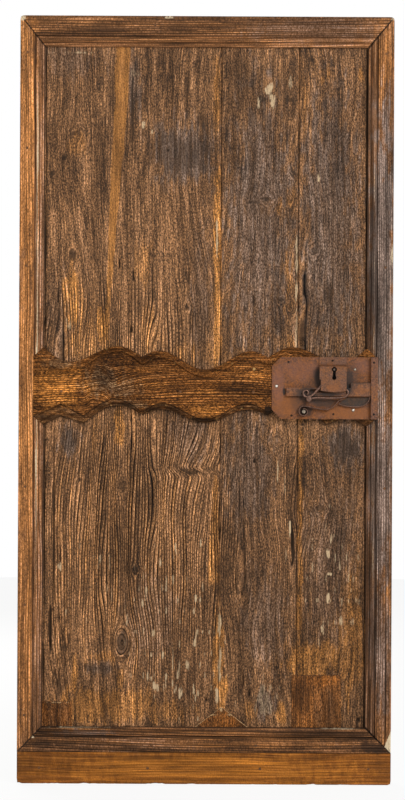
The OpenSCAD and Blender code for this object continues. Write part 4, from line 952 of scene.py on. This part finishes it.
# A let-in repair is a closed ring, front, right edge, back and left edge, carried up between two side lines
def makeRepair(name, node, tipWide):
    low, high = leafBox(node)
    middle, half = (low[0] + high[0]) / 2, (high[0] - low[0]) / 2
    count = int((high[0] - low[0]) / repairs["step"])
    share = np.concatenate([np.linspace(-1, 1, count), [1], np.linspace(1, -1, 6), [-1]])
    deep = np.concatenate([np.zeros(count), [high[1] / 2], np.full(6, high[1]), [high[1] / 2]])
    z = np.linspace(low[2], high[2], int((high[2] - low[2]) / repairs["rowStep"]))[:, None]
    wide = half + (tipWide - half) * (z - low[2]) / (high[2] - low[2])
    x, z = middle + wide * share, z + 0 * share
    ring, depth, tone = woodGrain(x, z, repairs["wood"])
    edge, faced = np.minimum(wide * (1 - np.abs(share)), high[2] - z), deep == 0
    stain = stainMap(x, z, repairs, 50)
    raiseStain(stain, paleness, repairs["edgePale"][node] * np.exp(-edge / repairs["paleReach"]) * faced)
    sunk = np.minimum(depth + repairs["edgeRound"] * np.exp(-edge), repairs["sinkMost"])
    y = deep + np.where(faced, sunk, 0)
    seat(woodPiece(name, x, y, z, z, (ring, tone, stain), patchWood), node)


wedgeTip = 0.4
makeRepair("repairWedge", "patch_wedge", wedgeTip)
for name, node in (("repairLeft", "patch_left"), ("repairRight", "patch_right")):
    makeRepair(name, node, (leafBox(node)[1][0] - leafBox(node)[0][0]) / 2)
print("repairs made")


# noises as scale, detail and roughness; spans as the two levels of a soft step; lights as the least light and
# what the noise adds
ironLook = {
    "mottle": (60.0, 5.0, 0.65), "pits": (900.0, 2.0, 0.6), "flecks": (260.0, 3.0, 0.7),
    "rustSpan": (0.32, 0.68), "speckSpan": (0.3, 0.7), "fleckShare": 0.5,
    "pitLight": (0.7, 0.6), "fleckLight": (0.55, 0.9), "stainFade": (0.55, 1.2), "stainRagged": 0.5,
    "rustRough": 0.25, "pitRough": 0.15, "rustDull": 0.8,
    "pitHeight": 0.5, "bump": 0.35, "bumpDeep": 0.0006,
}


# Iron with rust: broad mottling between two rusts, fine pits, and stains, painted shade and painted
# highlights of other colours. Each is a soft oval in the plate's plane (x, z, half width, half height,
# strength, colour), in leaf millimetres.
def ironFinish(name, plain, rust, rough, metal, rusty, stainsAndPaintedLight=()):
    finish, shader, wire = newFinish(name)
    place = wire.node("TexCoord", None, None, "Object")
    axes = wire.node("SeparateXYZ", None, {0: place}).socket.node.outputs
    x, z = Wire(wire.tree, axes[0]), Wire(wire.tree, axes[2])
    mottle, pits, flecks = (wire.noise(place, *ironLook[key]) for key in ("mottle", "pits", "flecks"))
    rustPart = (mottle + ironLook["fleckShare"] * (flecks - 0.5) + rusty - 0.5).rise(*ironLook["rustSpan"])
    body = rustPart.mix(paint(plain), paint(rust))
    (pitLeast, pitMore), (fleckLeast, fleckMore) = ironLook["pitLight"], ironLook["fleckLight"]
    light = pitLeast + pitMore * pits.rise(*ironLook["speckSpan"])
    light = light * (fleckLeast + fleckMore * flecks.rise(*ironLook["speckSpan"]))
    body = body.scaled(light)
    for cx, cz, halfWide, halfHigh, amount, colour in stainsAndPaintedLight:
        dx = (x - (leafCorner[0] + cx / 1000)) / (halfWide / 1000)
        dz = (z - (leafCorner[2] + cz / 1000)) / (halfHigh / 1000)
        away = (dx * dx + dz * dz) ** 0.5 + ironLook["stainRagged"] * (mottle - 0.5)
        body = (amount * (1 - away.rise(*ironLook["stainFade"]))).mix(body, paint(colour))
    body.feed(shader, "Base Color")
    roughness = rough + ironLook["rustRough"] * rustPart + ironLook["pitRough"] * (pits - 0.5)
    roughness.feed(shader, "Roughness")
    (metal * (1 - ironLook["rustDull"] * rustPart)).feed(shader, "Metallic")
    height = pits * ironLook["pitHeight"] + mottle
    strength, deep = ironLook["bump"], ironLook["bumpDeep"]
    bump = wire.node("Bump", None, {"Strength": strength, "Distance": deep, "Height": height})
    bump.feed(shader, "Normal")
    return finish


plateLow, plateHigh = leafBox("lock_plate")
plateWide, plateTall = plateHigh[0] - plateLow[0], plateHigh[2] - plateLow[2]


# a stain placed by shares of the lock plate
def onPlate(across, up, halfWide, halfHigh, amount, colour):
    x, z = plateLow[0] + across * plateWide, plateLow[2] + up * plateTall
    return x, z, halfWide, halfHigh, amount, colour


# colours of the lock's marks: grease with painted shade round the cover and the works, painted shade, rust
# orange and pink, a painted highlight, and painted shade seen through the keyhole
greaseAndShade, shade, orange, pink, highlightTint, keyholeShade = "1f1712", "35261c", "8c5222", "855541", "e6ddd0", "0f0a08"
# stains and painted shade on the plate: share across and up, half width, half height, strength, colour
plateStainsAndShade = [onPlate(*mark) for mark in (
    (0.14, 0.22, 34, 30, 0.6, orange), (0.75, 0.1, 70, 16, 0.6, orange), (0.06, 0.55, 16, 50, 0.5, pink),
    (0.28, 0.78, 50, 26, 0.35, pink), (0.86, 0.85, 30, 18, 0.35, pink), (0.44, 0.66, 12, 26, 0.85, greaseAndShade),
    (0.435, 0.55, 26, 46, 0.45, shade), (0.735, 0.6, 10, 34, 0.7, greaseAndShade), (0.76, 0.66, 22, 40, 0.4, shade),
    (0.33, 0.4, 26, 22, 0.75, greaseAndShade), (0.32, 0.13, 20, 15, 0.75, greaseAndShade), (0.5, 0.27, 34, 13, 0.75, shade),
    (0.78, 0.27, 36, 12, 0.8, greaseAndShade), (0.25, 0.3, 22, 30, 0.4, shade), (0.117, 0.443, 4, 10, 0.9, greaseAndShade),
    (0.72, 0.48, 6, 17, 0.95, greaseAndShade), (0.84, 0.585, 26, 2.5, 0.6, shade), (0.54, 0.4, 30, 5, 0.8, greaseAndShade))]
# painted highlights on the three screw heads
screwHighlights = [onPlate(*mark) for mark in (
    (0.044, 0.528, 2.8, 2.8, 1.0, highlightTint), (0.785, 0.802, 1.8, 1.8, 0.5, highlightTint),
    (0.771, 0.148, 2.7, 2.7, 0.9, highlightTint))]
coverStains = [onPlate(0.58, 0.5, 18, 10, 0.5, orange)]
boltStainsAndShade = plateStainsAndShade + [onPlate(0.84, 0.46, 20, 9, 0.4, orange)]
underCoverShade = [onPlate(0.587, 0.74, 16, 22, 1.0, keyholeShade)]      # painted shade on the plate under the cover, seen only through the keyhole
plateIron = ironFinish("plateIron", "6a432e", "784519", 0.5, 0.3, 0.55, plateStainsAndShade + underCoverShade)
coverIron = ironFinish("coverIron", "6b4937", "774823", 0.45, 0.35, 0.5, coverStains)
strapIron = ironFinish("strapIron", "6b4735", "784822", 0.45, 0.35, 0.5)
boltIron = ironFinish("boltIron", "6b4836", "7c4b24", 0.48, 0.35, 0.5, boltStainsAndShade)
darkIron = ironFinish("darkIron", "5a4a40", "6e4a34", 0.45, 0.6, 0.35)
springIron = ironFinish("springIron", "78594a", "74492c", 0.38, 0.5, 0.3)
webIron = ironFinish("webIron", "3a2a1e", "46301f", 0.6, 0.1, 0.5)
screwIron = ironFinish("screwIron", "6f5a48", "7c5a3e", 0.35, 0.5, 0.3, screwHighlights)
brightIron = ironFinish("brightIron", "a89884", "8f7458", 0.32, 0.7, 0.1)
nailIron = ironFinish("nailIron", "5e3f26", "6e4726", 0.6, 0.3, 0.6)
holeIron = ironFinish("holeIron", "1a110d", "22160f", 0.8, 0.1, 0.5)
ironOf = {
    "lock_plate": plateIron, "lock_front_strap": strapIron, "keyhole_cover": coverIron, "key_pin": darkIron,
    "lock_bolt": boltIron, "bolt_guide_stud": boltIron, "tumbler_pivot": springIron,
    "spring_stud": brightIron, "lock_nails": holeIron, "lock_screws": screwIron, "frame_nails": nailIron,
    "hinge_strap_upper": darkIron, "hinge_strap_lower": darkIron, "hinge_nails": darkIron,
}
for node, finish in ironOf.items():
    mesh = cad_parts[node].data
    mesh.materials.clear()
    mesh.materials.append(finish)
print("iron finishes set")


# The lock's open works: places are shares of the plate, thicknesses and rounds are millimetres
lockwork = {
    "boss": (0.35, 0.322), "bossBore": 3.7, "bossRim": 6.2,
    "arm": [(0.485, 0.58), (0.448, 0.506), (0.41, 0.435), (0.38, 0.385), (0.356, 0.366)],
    "armThick": (5.4, 2.6),
    "scroll": (0.325, 0.42), "scrollRound": (0.037, 0.014), "scrollTurn": (285, -70),
    "hook": [(0.368, 0.331), (0.385, 0.338), (0.43, 0.346), (0.52, 0.342), (0.62, 0.344), (0.69, 0.36),
        (0.719, 0.42), (0.708, 0.48)], "hookThick": (3.4, 3.4),
    "coil": (0.303, 0.122), "coilRound": (0.0255, 0.052), "coilTurn": (470, 75),
    "lift": [(0.43, 0.172), (0.51, 0.155), (0.57, 0.19), (0.605, 0.246), (0.637, 0.303), (0.672, 0.318)],
    "rim": [(0.632, 0.247), (0.69, 0.217), (0.758, 0.203), (0.83, 0.205), (0.885, 0.24), (0.915, 0.3),
        (0.922, 0.353)],
    "webCorner": (0.71, 0.35), "webShares": (0.04, 0.2, 0.4, 0.6, 0.8, 0.97), "webThick": 2.0, "webDish": 1.2,
    "springThick": (2.4, 2.4), "cornerPower": 0.45, "endRound": 1.6, "endLeast": 0.12,
    "bendFrom": (0.4, 0.18), "bendTo": (0.672, 0.318),
}
plateFront = leafBox("lock_plate")[0][1]


def platePlace(share):
    return np.array(share) * (plateWide, plateTall) + plateLow[[0, 2]]


# smooth path through places on the plate: a cubic from each to the next, its slope the mean of the steps
# beside it
def platePath(shares, steps=9):
    p = platePlace(shares)
    p = np.concatenate([p[:1], p, p[-1:]])
    a, b, c, d = (p[k:len(p) - 3 + k, None] for k in range(4))
    t = np.linspace(0, 1, steps, endpoint=False)[None, :, None]
    line = (2 * b + (c - a) * t + (2 * a - 5 * b + 4 * c - d) * t ** 2 + (3 * b - a - 3 * c + d) * t ** 3) / 2
    return np.concatenate([line.reshape(-1, 2), p[-1:]])


# scroll: radius and turn go evenly from the first to the second
def scrollPath(centre, radii, turns, steps=60):
    t = np.linspace(0, 1, steps)
    radius = (radii[0] + (radii[1] - radii[0]) * t) * plateWide
    turn = np.radians(turns[0] + (turns[1] - turns[0]) * t)
    return platePlace(centre) + np.stack([radius * np.cos(turn), radius * np.sin(turn)], -1)


# closed section with soft corners: cosine and sine of the turn, each raised to a low power
def softCorners(count=16):
    turn = np.linspace(0, 2 * np.pi, count, endpoint=False) + np.pi / count
    return (np.sign(f(turn)) * np.abs(f(turn)) ** lockwork["cornerPower"] for f in (np.cos, np.sin))


# a forged strip: the soft section carried along a path, drawn in at both ends, between two depths
def stripShell(path, thick, near, far):
    step = np.gradient(path, axis=0)
    normal = np.stack([-step[:, 1], step[:, 0]], -1) / np.hypot(step[:, 0], step[:, 1])[:, None]
    run = np.concatenate([[0], np.cumsum(np.hypot(*np.diff(path, axis=0).T))])
    end = np.minimum(np.minimum(run, run[-1] - run) / lockwork["endRound"], 1)
    half = (thick[0] + (thick[1] - thick[0]) * run / run[-1]) / 2
    half = half * np.sqrt(np.maximum(1 - (1 - end) ** 2, lockwork["endLeast"]))
    across, deep = softCorners()
    place = path[:, None] + normal[:, None] * (half[:, None] * across)[..., None]
    y = (near + far) / 2 + (far - near) / 2 * deep + 0 * place[..., 0]
    points = np.stack([place[..., 0], y, place[..., 1]], -1).reshape(-1, 3)
    return points, tubeFaces(len(path), len(across), True)


# a turned ring: the soft section carried round a centre, closed on itself
def ringShell(centre, bore, rim, near, far, count=40):
    turn = np.linspace(0, 2 * np.pi, count, endpoint=False)[:, None]
    across, deep = softCorners()
    radius = (bore + rim) / 2 + (rim - bore) / 2 * across
    x, z = centre[0] + radius * np.cos(turn), centre[1] + radius * np.sin(turn)
    points = np.stack([x, (near + far) / 2 + (far - near) / 2 * deep + 0 * x, z], -1).reshape(-1, 3)
    i, j = np.meshgrid(np.arange(count), np.arange(len(across)), indexing="ij")
    nextI, nextJ = (i + 1) % count, (j + 1) % len(across)
    corners = (i, j), (nextI, j), (nextI, nextJ), (i, nextJ)
    quads = np.stack([row * len(across) + column for row, column in corners], -1)
    return points, quads.reshape(-1, 4)[:, ::-1].tolist()


# web of the bolt spring: straight lines from its corner to the rim, dished by half a sine
def webShell():
    rim, corner = platePath(lockwork["rim"]), platePlace(lockwork["webCorner"])
    share = np.array(lockwork["webShares"])
    across = np.concatenate([share, share[::-1]])
    dish = lockwork["webThick"] - lockwork["webDish"] * np.sin(np.pi * share)
    y = plateFront - np.concatenate([dish, 0 * share])
    place = corner + (rim - corner)[:, None] * across[:, None]
    points = np.stack([place[..., 0], y + 0 * place[..., 0], place[..., 1]], -1).reshape(-1, 3)
    return points, tubeFaces(len(rim), len(across))


# one mesh from several closed shells
def makeWorks(name, shells, finish, node):
    first = np.cumsum([0] + [len(points) for points, shell in shells])
    faces = [[corner + start for corner in face]
             for (points, shell), start in zip(shells, first) for face in shell]
    piece = makePiece(name, np.concatenate([points for points, shell in shells]), faces, finish, sharp=35)
    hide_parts(node)
    return piece


near, far = leafBox("tumbler")[0][1], leafBox("tumbler")[1][1]
armScroll = scrollPath(lockwork["scroll"], lockwork["scrollRound"], lockwork["scrollTurn"])
armLine = np.concatenate([platePath(lockwork["arm"]), armScroll])
tumblerPiece = makeWorks("tumblerForged", [
    stripShell(armLine, lockwork["armThick"], near, far),
    stripShell(platePath(lockwork["hook"]), lockwork["hookThick"], near, far),
    ringShell(platePlace(lockwork["boss"]), lockwork["bossBore"], lockwork["bossRim"], near, far),
], springIron, "tumbler")
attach(tumblerPiece, "tumbler")

coilScroll = scrollPath(lockwork["coil"], lockwork["coilRound"], lockwork["coilTurn"])
coilLine = np.concatenate([coilScroll, platePath(lockwork["lift"])])
coilShell = stripShell(coilLine, lockwork["springThick"], leafBox("tumbler_spring")[0][1], plateFront)
springPiece = makeWorks("tumblerSpring", [coilShell], springIron, "tumbler_spring")
ends = [(leafCorner + np.insert(platePlace(lockwork[key]), 1, plateFront) / 1000).tolist()
        for key in ("bendFrom", "bendTo")]
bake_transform(springPiece)

rimLine, rimFront = platePath(lockwork["rim"]), leafBox("bolt_spring")[0][1]
rimShell = stripShell(rimLine, lockwork["springThick"], rimFront, plateFront)
for name, shell, finish in (("boltSpringRim", rimShell, springIron), ("boltSpringWeb", webShell(), webIron)):
    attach(makeWorks(name, [shell], finish, "bolt_spring"), "leaf")
print("lock works made")


studio = {
    "cameraDistance": 6.0, "sensor": 36.0, "photoTall": 1.924, "aim": (0.4279, 0.6655), "roll": -0.3,
    "floorSize": 14.0, "floorColours": ("efedea", "e9e6e1"), "floorNoise": (3.0, 3.0), "floorRough": 0.75,
    "floorGlow": 0.9, "worldLevel": 0.4,
    # name, place, aim, size, power
    "lights": [("key", (2.7, -3.4, 2.5), (0.42, 0.0, 0.7), 1.6, 120.0),
               ("fill", (-2.6, -3.0, 1.4), (0.42, 0.0, 0.6), 2.2, 25.0),
               ("back", (-1.2, 3.4, 2.2), (0.42, 0.0, 0.6), 2.2, 90.0)],
}


# floor: a flat round disc, radius times the cosine and sine of the turn
def makeFloor():
    turn = np.linspace(0, 2 * np.pi, 96, endpoint=False)
    radius = studio["floorSize"] * 500
    middle = leafWidth / 2
    rim = np.stack([middle + radius * np.cos(turn), radius * np.sin(turn), 0 * turn], -1)
    finish, shader, wire = newFinish("floorPaint")
    place = wire.node("TexCoord", None, None, "Object")
    shade = wire.noise(place, *studio["floorNoise"]).mix(*map(paint, studio["floorColours"]))
    shade.feed(shader, "Base Color")
    shader.inputs["Roughness"].default_value = studio["floorRough"]
    glow = wire.node("Emission")                      # the camera sees it near white, with a faint shadow
    seen = wire.node("LightPath", None, None, "Is Camera Ray") * studio["floorGlow"]
    both = wire.node("MixShader", None, {0: seen, 1: Wire(wire.tree, shader.outputs[0]), 2: glow})
    both.feed(wire.tree.nodes["Material Output"], "Surface")
    floor = makePiece("floorDisc", rim, [list(range(len(rim)))], finish)


def makeLights():
    world = bpy.data.worlds.new("paleRoom")
    world.use_nodes = True
    background = world.node_tree.nodes["Background"]
    background.inputs["Color"].default_value = (1, 1, 1, 1)
    # white to the camera, and softer as light
    seen = Wire(world.node_tree).node("LightPath", None, None, "Is Camera Ray")
    level = studio["worldLevel"] + seen * (1 - studio["worldLevel"])
    level.feed(background, "Strength")
    bpy.context.scene.world = world
    bpy.context.scene.view_settings.view_transform = "Standard"
    for name, place, aim, size, power in studio["lights"]:
        lamp = bpy.data.lights.new(name, "AREA")
        lamp.size, lamp.energy = size, power
        stand = bpy.data.objects.new(name, lamp)
        stand.location = place
        stand.rotation_euler = (Vector(aim) - Vector(place)).to_track_quat("-Z", "Y").to_euler()
        bpy.context.collection.objects.link(stand)


def makeCamera():
    lens = bpy.data.cameras.new("photoCamera")
    lens.sensor_fit, lens.sensor_height = "VERTICAL", studio["sensor"]
    lens.lens = studio["sensor"] * studio["cameraDistance"] / studio["photoTall"]
    lens.dof.use_dof = False
    camera = bpy.data.objects.new("photoCamera", lens)
    faceY = leafCorner[1] - frameThick / 1000
    camera.location = (studio["aim"][0], faceY - studio["cameraDistance"], studio["aim"][1])
    camera.rotation_euler = (np.pi / 2, np.radians(studio["roll"]), 0)
    bpy.context.collection.objects.link(camera)
    bpy.context.scene.camera = camera


makeFloor()
makeLights()
makeCamera()
print("studio set")
